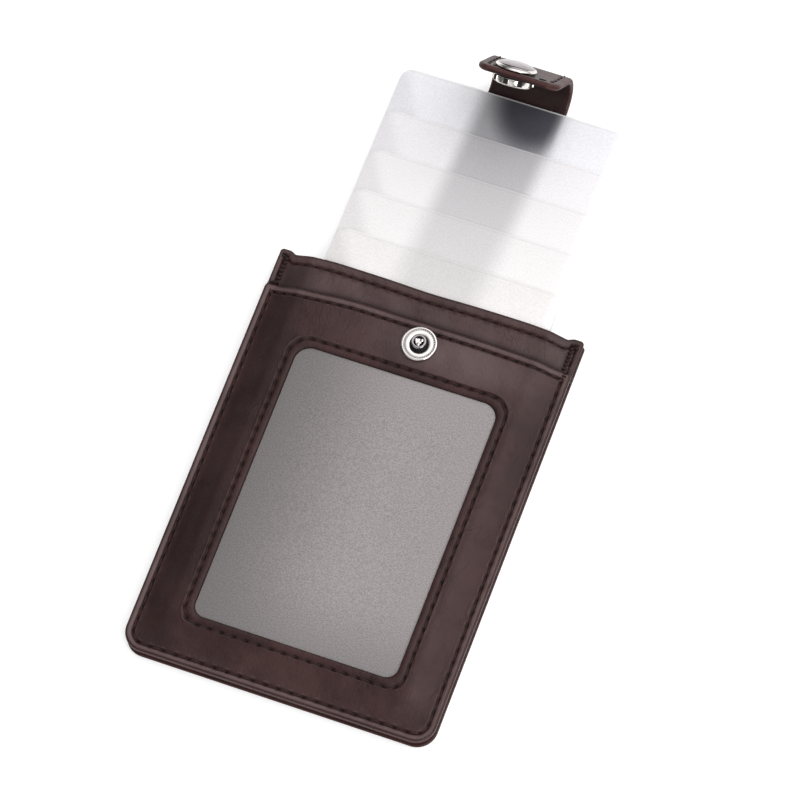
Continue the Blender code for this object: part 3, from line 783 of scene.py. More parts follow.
@dataclass(frozen=True)
class RingCounts:
    """How many points a ring has in each corner and side."""

    corner: int = 16
    across: int = 170
    along: int = 230

    @property
    def part_ends(self) -> list[int]:
        """Where each corner and side starts, from the bottom left corner round.

        Returns:
            The numbers of their first points.
        """
        ends = [0]
        for index in range(4):
            ends.append(ends[-1] + self.corner + 1)
            ends.append(ends[-1] + (self.along if index % 2 else self.across) - 1)
        return ends


@dataclass(frozen=True)
class Hem:
    """How a panel's hem sags in its middle and falls away or rises towards its corners."""

    level: float = 0.0
    sag: float = 0.0
    left: float = 0.0
    right: float = 0.0
    start: float = 22.0 * MM
    end: float = 36.0 * MM
    ear: float = 0.0
    ear_start: float = 35.5 * MM
    ear_run: float = 2.0 * MM
    sag_reach: float = 9.0 * MM
    depth: float = 9.0 * MM
    depth_run: float = 7.0 * MM

    def drop(self, ring: np.ndarray, mouth: float) -> np.ndarray:
        """How far each point near the hem lies below its straight line.

        Args:
            ring: Points across and along the case.
            mouth: Where the straight hem is.

        Returns:
            The drops.
        """
        x, near = ring[:, 0], smooth((ring[:, 1] - mouth + self.depth) / self.depth_run)
        side = np.where(x < 0, self.left, self.right)
        fall = side * smooth((np.abs(x) - self.start) / (self.end - self.start))
        back = self.ear * smooth((np.abs(x) - self.ear_start) / self.ear_run)
        middle = self.sag * np.exp(-((x / self.sag_reach) ** 2))
        return near * (self.level + middle + fall - back)


@dataclass(frozen=True)
class CaseForm:
    """The case's outline, its crown and the heights of its layers."""

    half_width: float = 40.0 * MM
    half_length: float = 55.0 * MM
    bottom_radius: float = 5.2 * MM
    mouth_radius: float = 1.1 * MM
    least_radius: float = 0.35 * MM
    panel_drop: float = 8.9 * MM
    crown: float = 2.2 * MM
    crown_foot: float = 2.5 * MM
    crown_side_run: float = 7.0 * MM
    crown_foot_run: float = 10.0 * MM
    window_half_width: float = 26.15 * MM
    window_low: float = -42.5 * MM
    window_high: float = 31.2 * MM
    window_middle: float = 0.5 * MM
    window_foot_radius: float = 3.0 * MM
    window_head_radius: float = 4.0 * MM
    inner_low: float = 3.2 * MM
    window_panel_low: float = 4.25 * MM
    counts: RingCounts = field(default_factory=RingCounts)

    @property
    def panel_mouth(self) -> float:
        """Where the window panel's hem is."""
        return self.half_length - self.panel_drop

    def outline(
        self, across: tuple[float, float], along: tuple[float, float], low: float, high: float
    ) -> np.ndarray:
        """Points round a rectangle with round corners.

        Args:
            across: Its left and right sides.
            along: Its bottom and top.
            low: The radius of its bottom corners.
            high: The radius of its top corners.

        Returns:
            The points, N by 2.
        """
        low, high = max(low, self.least_radius), max(high, self.least_radius)
        (x_low, x_high), (y_low, y_high) = across, along
        corners = (
            (x_low + low, y_low + low, low, math.pi),
            (x_high - low, y_low + low, low, 1.5 * math.pi),
            (x_high - high, y_high - high, high, 0.0),
            (x_low + high, y_high - high, high, QUARTER_TURN),
        )
        arcs = []
        for x, y, radius, start in corners:
            turn = start + QUARTER_TURN * np.linspace(0, 1, self.counts.corner + 1)
            arcs.append(np.stack([x + radius * np.cos(turn), y + radius * np.sin(turn)], axis=1))
        parts = []
        for index, arc in enumerate(arcs):
            count = self.counts.along if index % 2 else self.counts.across
            share = np.linspace(0, 1, count + 1)[1:-1, None]
            parts += [arc, arc[-1] + (arcs[(index + 1) % 4][0] - arc[-1]) * share]
        return np.concatenate(parts)

    def around(self, inset: float, head: float, mouth: float, hem: Hem) -> np.ndarray:
        """The case's outline drawn in by an inset.

        Args:
            inset: The inset at the sides and the foot.
            head: The inset at the hem.
            mouth: Where the hem is.
            hem: How the hem falls away from a straight line.

        Returns:
            The points.
        """
        half = self.half_width - inset
        along = (-self.half_length + inset, mouth - head)
        ring = self.outline((-half, half), along, self.bottom_radius - inset, self.mouth_radius - inset)
        ring[:, 1] -= hem.drop(ring, mouth)
        return ring

    def window(self, offset: float) -> np.ndarray:
        """The window's outline grown by an offset.

        Args:
            offset: How far outside the window.

        Returns:
            The points.
        """
        half = self.window_half_width + offset
        across = (self.window_middle - half, self.window_middle + half)
        along = (self.window_low - offset, self.window_high + offset)
        foot, head = self.window_foot_radius + 0.3 * offset, self.window_head_radius + 0.5 * offset
        return self.outline(across, along, foot, head)

    def crown_height(self, ring: np.ndarray) -> np.ndarray:
        """How far the sleeves lift the front above its sewn edge.

        Args:
            ring: Points across and along the case.

        Returns:
            Their heights.
        """
        side = (self.half_width - self.crown_foot - np.abs(ring[:, 0])) / self.crown_side_run
        foot = (ring[:, 1] + self.half_length - self.crown_foot) / self.crown_foot_run
        return self.crown * smooth(side) * smooth(foot)

    def painted_sheen(self, ring: np.ndarray) -> np.ndarray:
        """How much painted sheen lightens the leather, most above the window and beside its right.

        Args:
            ring: Points across and along the case.

        Returns:
            The shares, from 0 to 1.
        """
        x, y = ring[:, 0] / MM, ring[:, 1] / MM
        above = 0.95 * np.exp(-(((x - 12) / 20) ** 2) - ((y - 40) / 8) ** 2)
        beside = 0.10 * np.exp(-(((x - 30.5) / 3.2) ** 2)) * smooth((42 - y) / 30) * smooth((y + 56) / 12)
        foot = 0.10 * np.exp(-(((y + 48.5) / 3.5) ** 2)) * smooth((36 - np.abs(x)) / 6)
        return np.minimum(above + beside + foot, 1.0)

    def left_painted_shade(self, ring: np.ndarray) -> np.ndarray:
        """How much painted shade darkens each point of the leather: up to a half, along its left side."""
        return 0.5 * smooth((-25 * MM - ring[:, 0]) / (6 * MM))

    def lay(self, ring: np.ndarray, height: np.ndarray | float, ripple: float = 0.0) -> np.ndarray:
        """Lay a ring on the crowned surface.

        Args:
            ring: Its points across and along.
            height: Its height above the surface's sewn edge.
            ripple: How far the leather's soft waves lift and sink it.

        Returns:
            The points, N by 3.
        """
        z = self.crown_height(ring) + height
        if ripple:
            wide = [noise.noise(Vector((x * 70, y * 70, 3.1))) for x, y in ring]
            fine = [noise.noise(Vector((x * 190, y * 190, 8.2))) for x, y in ring]
            z = z + ripple * (np.array(wide) + 0.5 * np.array(fine))
        return raised(ring, z)


def straight_up(_: Vector) -> Vector:
    """The outward direction anywhere on the front."""
    return Vector((0, 0, 1))


def straight_down(_: Vector) -> Vector:
    """The outward direction anywhere on the back."""
    return Vector((0, 0, -1))


@dataclass
class SeamLine:
    """A row of stitches along a line, with the leather drawn in round their holes."""

    line: np.ndarray
    pitch: float
    stitch: tuple[float, float] = (0.15, 0.85)
    reach: np.ndarray = field(init=False)

    def __post_init__(self) -> None:
        """Measure the line and fit a whole number of stitches to it."""
        steps = np.linalg.norm(np.diff(self.line, axis=0), axis=1)
        self.reach = np.concatenate([[0.0], np.cumsum(steps)])
        self.pitch = self.reach[-1] / max(round(self.reach[-1] / self.pitch), 1)

    def dimple(self) -> np.ndarray:
        """How near each point of the line is to a needle hole, from 0 to 1."""
        return (0.5 + 0.5 * np.cos(FULL_TURN * self.reach / self.pitch)) ** 2

    def at(self, reach: float) -> Vector:
        """The place at a length along the line."""
        return Vector([float(np.interp(reach, self.reach, self.line[:, axis])) for axis in range(3)])

    def stations(self) -> Iterable[tuple[Vector, Vector]]:
        """Go along the stitches.

        Yields:
            The middle and direction of each.
        """
        for index in range(round(self.reach[-1] / self.pitch)):
            first, last = (self.at((index + share) * self.pitch) for share in self.stitch)
            yield (first + last) / 2, last - first

    def sew(
        self,
        bm: bmesh.types.BMesh,
        thickness: float,
        up: Callable[[Vector], Vector],
        lift: float = 0.02 * MM,
        slant: float = 0.10,
    ) -> None:
        """Add the stitches to a bmesh.

        Args:
            bm: Where they go.
            thickness: The thread's thickness.
            up: Gives the surface's outward direction at a place.
            lift: How far the thread's middle stands above the line.
            slant: How far each stitch turns across the line.
        """
        for middle, along in self.stations():
            normal = up(middle)
            forward = (along.normalized() + slant * normal.cross(along).normalized()).normalized()
            side = normal.cross(forward).normalized()
            sizes = (side * thickness / 2, forward.cross(side) * thickness / 2, forward * along.length / 2)
            frame = Matrix(sizes).transposed().to_4x4()
            frame.translation = middle + normal * lift
            bmesh.ops.create_uvsphere(bm, u_segments=8, v_segments=7, radius=1.0, matrix=frame)


# --------------------------------------------------------------------------- the case


@dataclass
class SeamedPanel:
    """What the case's sewn panels share: a turned edge, a sunk seam and its stitches.

    The tables give the rings of each panel's skin. Insets, offsets and heights are in
    millimetres, and the last value of a longer row is how painted or how sunk the ring is;
    a sunk ring takes painted shade.
    """

    form: CaseForm
    looks: Finishes
    seam_inset: float = 1.9
    pitch: float = 3.3 * MM
    hem_pitch: float = 2.95 * MM
    thread: float = 0.50 * MM
    # Share of painted shade in a groove between the needle holes, and of painted highlight beside the holes.
    groove_painted_shade: float = 0.28
    hole_worn: float = 0.45
    hem: Hem = Hem()

    def seam_parts(self, ring: np.ndarray) -> tuple[SeamLine, SeamLine, np.ndarray]:
        """Split the ring that a seam follows into its sides and its hem.

        Args:
            ring: The seam's ring, N by 3.

        Returns:
            The seam up both sides, the seam along the hem, and each point's dimple.
        """
        ends = self.form.counts.part_ends
        around = np.concatenate([np.arange(ends[7], len(ring)), np.arange(0, ends[4])])
        across = np.arange(ends[5], ends[6])
        sides, hem = SeamLine(ring[around], self.pitch), SeamLine(ring[across], self.hem_pitch)
        dimple = np.zeros(len(ring))
        dimple[around], dimple[across] = sides.dimple(), hem.dimple()
        return sides, hem, dimple

    def add_groove(self, loft: Loft, ring: np.ndarray, share: float, dimple: np.ndarray) -> None:
        """Add a ring of a seam's groove, with painted shade that is darkest in its holes and a painted
        highlight beside them.

        Args:
            loft: The panel's loft.
            ring: The ring.
            share: How deep in the groove the ring is, from 0 to 1.
            dimple: How near each point is to a needle hole.
        """
        # Painted shade in the groove and holes; painted highlight on the leather beside the holes.
        dark = share * (self.groove_painted_shade + (1 - self.groove_painted_shade) * dimple)
        loft.add(ring, seam=dark, worn=self.hole_worn * dimple * (1 - share))

    def add_plain(self, loft: Loft, ring: np.ndarray) -> None:
        """Add a ring of plain leather, with painted sheen and painted shade down its left side."""
        loft.add(ring, worn=self.form.painted_sheen(ring), seam=self.form.left_painted_shade(ring))


WINDOW_PANEL_HEM = Hem(level=0.05 * MM, left=1.35 * MM, right=0.45 * MM, start=14.0 * MM)


@dataclass
class WindowPanel(SeamedPanel):
    """The front panel with its window, raised edge, hem and seams."""

    seam_height: float = 0.66
    window_seam: float = 2.2
    window_pitch: float = 3.2 * MM
    ripple: float = 0.13 * MM
    top: float = 0.92
    hem: Hem = WINDOW_PANEL_HEM

    EDGE = (
        (0.60, 0.00, 0.8), (0.15, 0.10, 0.8), (0.00, 0.38, 0.7), (0.03, 0.68, 0.4), (0.16, 0.92, 0.1),
        (0.40, 1.06, 0.0), (0.74, 1.12, 0.0), (1.08, 1.10, 0.0), (1.35, 1.00, 0.0), (1.55, 0.88, 0.0),
    )
    GROOVE = (
        (1.58, 0.84, 0.4), (1.74, 0.72, 0.9), (1.96, 0.66, 1.0), (2.18, 0.74, 0.9), (2.38, 0.86, 0.4),
        (2.56, 0.91, 0.0),
    )
    WINDOW_GROOVE = (
        (0.64, 0.93, 0.0), (0.50, 0.89, 0.3), (0.34, 0.80, 0.9), (0.12, 0.70, 1.0), (-0.12, 0.68, 1.0),
        (-0.34, 0.80, 0.7),
    )
    SLOPES = (
        (2.9, 2.9), (3.5, 3.5), (4.2, 4.2), (5.0, 5.0), (5.8, 5.8), (6.6, 6.7), (7.4, 7.7), (8.1, 8.8),
        (8.7, 9.9),
    )
    LIP = (
        (1.60, 0.88), (1.30, 0.92), (0.95, 0.93), (0.62, 0.90), (0.36, 0.82), (0.16, 0.68), (0.04, 0.48),
        (0.0, 0.27), (0.04, 0.08),
    )

    def outer_ring(
        self, inset: float, height: Any, head: float | None = None, ripple: float = 0.0
    ) -> np.ndarray:
        """A ring that follows the panel's own edge, whose bead is lower at the hem.

        Args:
            inset: Its inset, in millimetres.
            height: Its height above the panel's underside, in millimetres.
            head: Its inset at the hem, in millimetres.
            ripple: How far the leather's waves move it.

        Returns:
            The ring.
        """
        mouth = self.form.panel_mouth
        flat = self.form.around(inset * MM, (inset if head is None else head) * MM, mouth, self.hem)
        near_hem = smooth((flat[:, 1] - mouth + 5 * MM) / (2.5 * MM))
        level = np.minimum(height, 0.9) + np.maximum(np.asarray(height) - 0.9, 0.0) * (1 - 0.45 * near_hem)
        return self.form.lay(flat, self.form.window_panel_low + level * MM, ripple)

    def window_ring(self, offset: float, height: Any, ripple: float = 0.0) -> np.ndarray:
        """A ring at an offset outside the window and a height over the underside, in millimetres."""
        flat = self.form.window(offset * MM)
        return self.form.lay(flat, self.form.window_panel_low + np.asarray(height) * MM, ripple)

    def build(self) -> None:
        """Build the leather and its stitches."""
        sides, hem, dimple = self.seam_parts(self.outer_ring(self.seam_inset, self.seam_height))
        seam_at = self.window_seam
        seam_ring = self.window_ring(seam_at, self.seam_height)
        window_seam = SeamLine(np.vstack([seam_ring, seam_ring[:1]]), self.window_pitch)
        near = window_seam.dimple()[:-1]
        inset, height, edge = self.EDGE[0]
        loft = Loft(self.outer_ring(inset, height), edge=edge)
        for inset, height, edge in self.EDGE[1:]:
            # Painted highlight, with some wear, on the rounded top of the turned edge.
            worn = 0.9 * float(0.5 < inset < 1.4)
            loft.add(self.outer_ring(inset, height - 0.22 * dimple * (inset > 1.3)), edge=edge, worn=worn)
        for inset, height, share in self.GROOVE:
            ring = self.outer_ring(inset, height - 0.44 * dimple * share + 0.05 * dimple * (1 - share))
            self.add_groove(loft, ring, share, dimple)
        for inset, head in self.SLOPES:
            ripple = self.ripple * float(smooth((inset - 2.6) / 2))
            self.add_plain(loft, self.outer_ring(inset, self.top, head, ripple))
        outer = self.outer_ring(self.SLOPES[-1][0], self.top, self.SLOPES[-1][1])[:, :2]
        inner = self.window_ring(seam_at + 0.75, self.top)[:, :2]
        for share in (0.2, 0.4, 0.6, 0.8):
            height = self.form.window_panel_low + self.top * MM
            self.add_plain(loft, self.form.lay(outer + (inner - outer) * share, height, self.ripple))
        self.add_plain(loft, self.window_ring(seam_at + 0.75, self.top, self.ripple * 0.5))
        for offset, height, share in self.WINDOW_GROOVE:
            height = height - 0.40 * near * share + 0.05 * near * (1 - share)
            self.add_groove(loft, self.window_ring(seam_at + offset, height), share, near)
        for offset, height in self.LIP:
            # Painted shadow: a thin dark line round the window's edge.
            loft.add(self.window_ring(offset, height), seam=0.65 * (offset < 0.3))
        loft.add(self.window_ring(1.2, 0.02))
        for inset, head in reversed(self.SLOPES[::2]):
            loft.add(self.outer_ring(inset, 0.0, head))
        finish_mesh("window_panel_leather", loft.join(), self.looks.case, Body.CASE, ["window_panel"])
        bm = bmesh.new()
        for seam in (sides, hem, window_seam):
            seam.sew(bm, self.thread, straight_up)
        finish_mesh("window_panel_stitches", bm, self.looks.sunk_thread, Body.CASE)


@dataclass
class InnerPanel(SeamedPanel):
    """The pocket's front wall, whose hem shows above the window panel."""

    inset: float = 0.1 * MM
    top: float = 0.80
    ripple: float = 0.13 * MM
    wave: float = 0.13 * MM
    wave_length: float = 11.0 * MM
    tack_place: float = 37.5 * MM
    tack_ends: tuple[float, float] = (46.2 * MM, 53.9 * MM)
    tack_pitch: float = 1.15 * MM
    tack_thread: float = 1.25 * MM
    head_share: float = 1.65
    covering_hem: Hem = WINDOW_PANEL_HEM
    hem: Hem = Hem(level=0.3 * MM, sag=0.3 * MM, left=0.6 * MM, right=0.4 * MM, start=24.0 * MM, ear=0.8 * MM)

    EDGE = (
        (0.50, 0.00, 0.6), (0.10, 0.12, 0.6), (0.00, 0.42, 0.5), (0.07, 0.74, 0.2), (0.26, 0.92, 0.0),
        (0.55, 0.98, 0.0), (0.88, 0.95, 0.0), (1.12, 0.86, 0.0), (1.28, 0.78, 0.1),
    )
    GROOVE = ((1.38, 0.70, 0.5), (1.52, 0.60, 1.0), (1.66, 0.68, 0.7), (1.78, 0.76, 0.3), (1.92, 0.80, 0.1))
    SLOPES = (
        (2.4, 4.0), (3.0, 4.9), (3.8, 5.9), (4.6, 6.8), (5.4, 7.8), (5.9, 8.4), (6.4, 9.0), (7.0, 9.6),
        (7.6, 10.3), (8.8, 12.0),
    )

    def ring(self, inset: float, height: Any, head: float | None = None, ripple: float = 0.0) -> np.ndarray:
        """A ring of the panel.

        Args:
            inset: Its inset, in millimetres.
            height: Its height above the panel's underside, in millimetres.
            head: Its inset at the mouth, in millimetres.
            ripple: How far the leather's waves move it.

        Returns:
            The ring.
        """
        head = inset * self.head_share if head is None else head
        flat = self.form.around(self.inset + inset * MM, head * MM, self.form.half_length, self.hem)
        return self.form.lay(flat, self.form.inner_low + np.asarray(height) * MM, ripple)

    def tack(self, side: Side) -> SeamLine:
        """The close stitches that hold the pocket's end on one side, between the two hems."""
        flat = np.column_stack([np.full(12, side.value * self.tack_place), np.linspace(*self.tack_ends, 12)])
        return SeamLine(self.form.lay(flat, self.form.inner_low + self.top * MM), self.tack_pitch)

    def tack_shade(self, ring: np.ndarray) -> np.ndarray:
        """How much painted shade darkens the leather under the close stitches, from 0 to 1."""
        beside = np.exp(-(((np.abs(ring[:, 0]) - self.tack_place) / (0.8 * MM)) ** 2))
        return 0.85 * beside * smooth((ring[:, 1] - self.tack_ends[0] + 1 * MM) / MM)

    def hem_painted_shadow(self, ring: np.ndarray) -> np.ndarray:
        """How much painted shadow darkens the leather just above the window panel's hem.

        Args:
            ring: Points of the panel.

        Returns:
            The shares, from 0 to 1.
        """
        mouth = self.form.panel_mouth
        at_hem = np.column_stack([ring[:, 0], np.full(len(ring), mouth)])
        above = ring[:, 1] - (mouth - self.covering_hem.drop(at_hem, mouth))
        return 0.9 * smooth(1 - above / (1.8 * MM))

    def build(self) -> None:
        """Build the leather and its stitches."""
        _, hem, dimple = self.seam_parts(self.ring(self.GROOVE[1][0], self.GROOVE[1][1]))
        loft = Loft(self.ring(self.SLOPES[-1][0], 0.0, self.SLOPES[-1][1]))
        for inset, head in reversed(self.SLOPES[:-1:2]):
            loft.add(self.ring(inset, 0.0, head))
        for inset, height, edge in self.EDGE:
            # Painted highlight, with some wear, on the rounded top of the hem's edge.
            worn = 0.5 * float(0.3 < inset < 1.2)
            loft.add(self.ring(inset, height - 0.20 * dimple * (inset > 1.0)), edge=edge, worn=worn)
        for inset, height, share in self.GROOVE:
            self.add_groove(loft, self.ring(inset, height - 0.38 * dimple * share), share, dimple)
        for inset, head in self.SLOPES:
            ring = self.ring(inset, self.top, head, self.ripple)
            wave = np.sin(ring[:, 0] / self.wave_length * 2 * math.pi)
            ring[:, 2] += self.wave * wave * float(smooth((head - 3) / 3))
            # Painted shade on the left side, under the close stitches and above the window panel's hem;
            # painted sheen with wear over the whole strip.
            shade = np.maximum.reduce([self.form.left_painted_shade(ring), self.tack_shade(ring), self.hem_painted_shadow(ring)])
            loft.add(ring, worn=0.50, seam=shade)
        finish_mesh("inner_panel_leather", loft.cap(), self.looks.case, Body.CASE, ["inner_panel"])
        bm = bmesh.new()
        hem.sew(bm, self.thread, straight_up)
        for side in Side:
            self.tack(side).sew(bm, self.tack_thread, straight_up, lift=0.10 * MM, slant=0.35)
        finish_mesh("inner_hem_stitches", bm, self.looks.sunk_thread, Body.CASE)


@dataclass
class BackPanel(SeamedPanel):
    """The back of the case, with the seam that shows on it."""

    EDGE = (
        (2.75, 0.0, 0.0), (2.50, 0.02, 0.3), (2.30, 0.12, 0.7), (2.05, 0.36, 1.0), (1.75, 0.36, 1.0),
        (1.50, 0.14, 0.7), (1.30, 0.02, 0.2), (0.90, 0.0, 0.0),
    )
    RIM = (
        (0.55, 0.02), (0.22, 0.14), (0.04, 0.38), (0.0, 0.60), (0.10, 0.86), (0.40, 1.0), (1.2, 1.0),
        (3.0, 1.0),
    )

    def ring(self, inset: float, height: Any) -> np.ndarray:
        """A flat ring of the panel, from its inset and height in millimetres."""
        flat = self.form.around(inset * MM, inset * MM, self.form.half_length, self.hem)
        return raised(flat, np.asarray(height) * MM)

    def build(self) -> None:
        """Build the leather and its stitches."""
        sides, _, dimple = self.seam_parts(self.ring(self.seam_inset, 0.36))
        loft = Loft(self.ring(8.0, 0.0))
        for inset, height, seam in self.EDGE:
            # Painted shade in the seam's groove, from the table's last value.
            loft.add(self.ring(inset, height + 0.15 * dimple * (seam > 0.5)), seam=seam)
        for inset, height in self.RIM:
            loft.add(self.ring(inset, height), edge=1.0 * (0.1 < height < 0.95))
        finish_mesh("back_panel_leather", loft.cap(), self.looks.case, Body.CASE, ["back_panel"])
        bm = bmesh.new()
        sides.sew(bm, self.thread, straight_down, lift=0.12 * MM)
        finish_mesh("back_stitches", bm, self.looks.sunk_thread, Body.CASE)


@dataclass
class EdgeGlue:
    """The glued joints under and over the welt, which close the case's edge."""

    form: CaseForm
    looks: Finishes
    insets: tuple[float, float] = (0.9 * MM, 2.3 * MM)
    mouth: float = 53.2 * MM
    joints: tuple[tuple[float, float], ...] = ((1.01 * MM, 1.29 * MM), (2.91 * MM, 3.19 * MM))

    def run(self, inset: float) -> np.ndarray:
        """Points down the left side, along the foot and up the right side.

        Args:
            inset: Their inset from the case's outline.

        Returns:
            The points, N by 2.
        """
        ring = self.form.around(inset, 0.0, self.mouth, Hem())
        ends = self.form.counts.part_ends
        return np.concatenate([ring[ends[7] - 1 :], ring[: ends[4] + 1]])

    def build(self) -> None:
        """Build both joints."""
        flat = np.concatenate([self.run(self.insets[0]), self.run(self.insets[1])[::-1]])
        for name, (low, high) in zip(("lower", "upper"), self.joints):
            joint = Loft(raised(flat, low)).add(raised(flat, high)).cap()
            finish_mesh(f"{name}_edge_glue", joint, self.looks.cut_edge, Body.CASE)


@dataclass
class ThreadWraps:
    """The wrapped stitches that hold the corners of the mouth and of the hem."""

    form: CaseForm
    looks: Finishes
    thread: float = 0.55 * MM
    low: float = 0.02 * MM

    # Place across, top and half width in millimetres, lean, and the places of the loops along the case.
    GROUPS = ((38.1, 4.65, 1.75, 0.12, (53.5, 52.7)), (38.4, 5.5, 1.70, 0.15, (45.2, 44.5)))

    def wrap(self, bm: bmesh.types.BMesh, x: float, y: float, high: float, half: float, lean: float) -> None:
        """Add one loop of thread round the edge.

        Args:
            bm: Where it goes.
            x: Its middle across the case.
            y: Its middle along the case.
            high: Its highest point.
            half: Half its width.
            lean: How far it leans along the case.
        """
        loop = bmesh.new()
        bmesh.ops.create_circle(loop, segments=8, radius=self.thread / 2)
        bmesh.ops.translate(loop, verts=loop.verts, vec=(half - self.thread / 2, 0, 0))
        bmesh.ops.rotate(loop, verts=loop.verts, matrix=Matrix.Rotation(QUARTER_TURN, 3, "X"))
        spin(loop, list(loop.verts) + list(loop.edges), 28)
        stretch = (high - self.low) / 2 / half
        place = Matrix.Translation((x, y, (self.low + high) / 2)) @ Matrix.Rotation(lean, 4, "Z")
        upright = place @ Matrix.Rotation(QUARTER_TURN, 4, "X") @ Matrix.Diagonal((1, stretch, 1, 1))
        bmesh.ops.transform(loop, verts=loop.verts, matrix=upright)
        mesh = bpy.data.meshes.new("loop")
        loop.to_mesh(mesh)
        loop.free()
        bm.from_mesh(mesh)
        bpy.data.meshes.remove(mesh)

    def build(self) -> None:
        """Build the wraps of both sides."""
        for side in Side:
            bm = bmesh.new()
            for aside, high, half, lean, places in self.GROUPS:
                for index, y in enumerate(places):
                    x = side.value * aside * MM
                    self.wrap(bm, x, y * MM, high * MM, half * MM, lean * (-1) ** index)
            name = side.name.lower()
            finish_mesh(f"thread_wraps_{name}", bm, self.looks.thread, Body.CASE, [f"bar_tack_{name}"])


@dataclass
class WindowSheet:
    """The frosted film that shows in the window."""

    form: CaseForm
    looks: Finishes
    margin: float = 1.6 * MM
    sag: float = 0.12 * MM
    faces: tuple[float, float] = (0.02 * MM, 0.24 * MM)

    SHARES = (1.0, 0.93, 0.84, 0.7, 0.55, 0.4, 0.25, 0.1)

    def ring(self, share: float, height: float) -> np.ndarray:
        """A ring of the film, which sags a little from its edge.

        Args:
            share: Its size as a share of the film's.
            height: Its height above the crown.

        Returns:
            The ring.
        """
        middle = np.array([self.form.window_middle, (self.form.window_low + self.form.window_high) / 2])
        flat = middle + (self.form.window(self.margin) - middle) * share
        low = self.form.window_panel_low + self.form.crown
        return raised(flat, low + height - self.sag * smooth((1 - share) / 0.45))

    def build(self) -> None:
        """Build the film."""
        low, high = self.faces
        loft = Loft(self.ring(self.SHARES[-1], low))
        for share in reversed(self.SHARES[:-1]):
            loft.add(self.ring(share, low))
        for share in self.SHARES:
            loft.add(self.ring(share, high))
        finish_mesh("window_film_sheet", loft.cap(), self.looks.window, Body.CASE, ["window_film"])


# --------------------------------------------------------------------------- the snap


def faces_where(bm: bmesh.types.BMesh, chosen: Callable[[float, float, float], bool]) -> list[Any]:
    """Find some faces of a turned shape.

    Args:
        bm: The shape, made round Z.
        chosen: Tells from a face's radius and height, in millimetres, and its direction, in
            degrees, whether it is one of them.

    Returns:
        The faces.
    """
    found = []
    for face in bm.faces:
        middle = face.calc_center_median()
        turn = math.degrees(math.atan2(middle.y, middle.x))
        if chosen(math.hypot(middle.x, middle.y) / MM, middle.z / MM, turn):
            found.append(face)
    return found


def paint(faces: Iterable[Any], slot: int) -> None:
    """Give faces another material slot."""
    for face in faces:
        face.material_index = slot


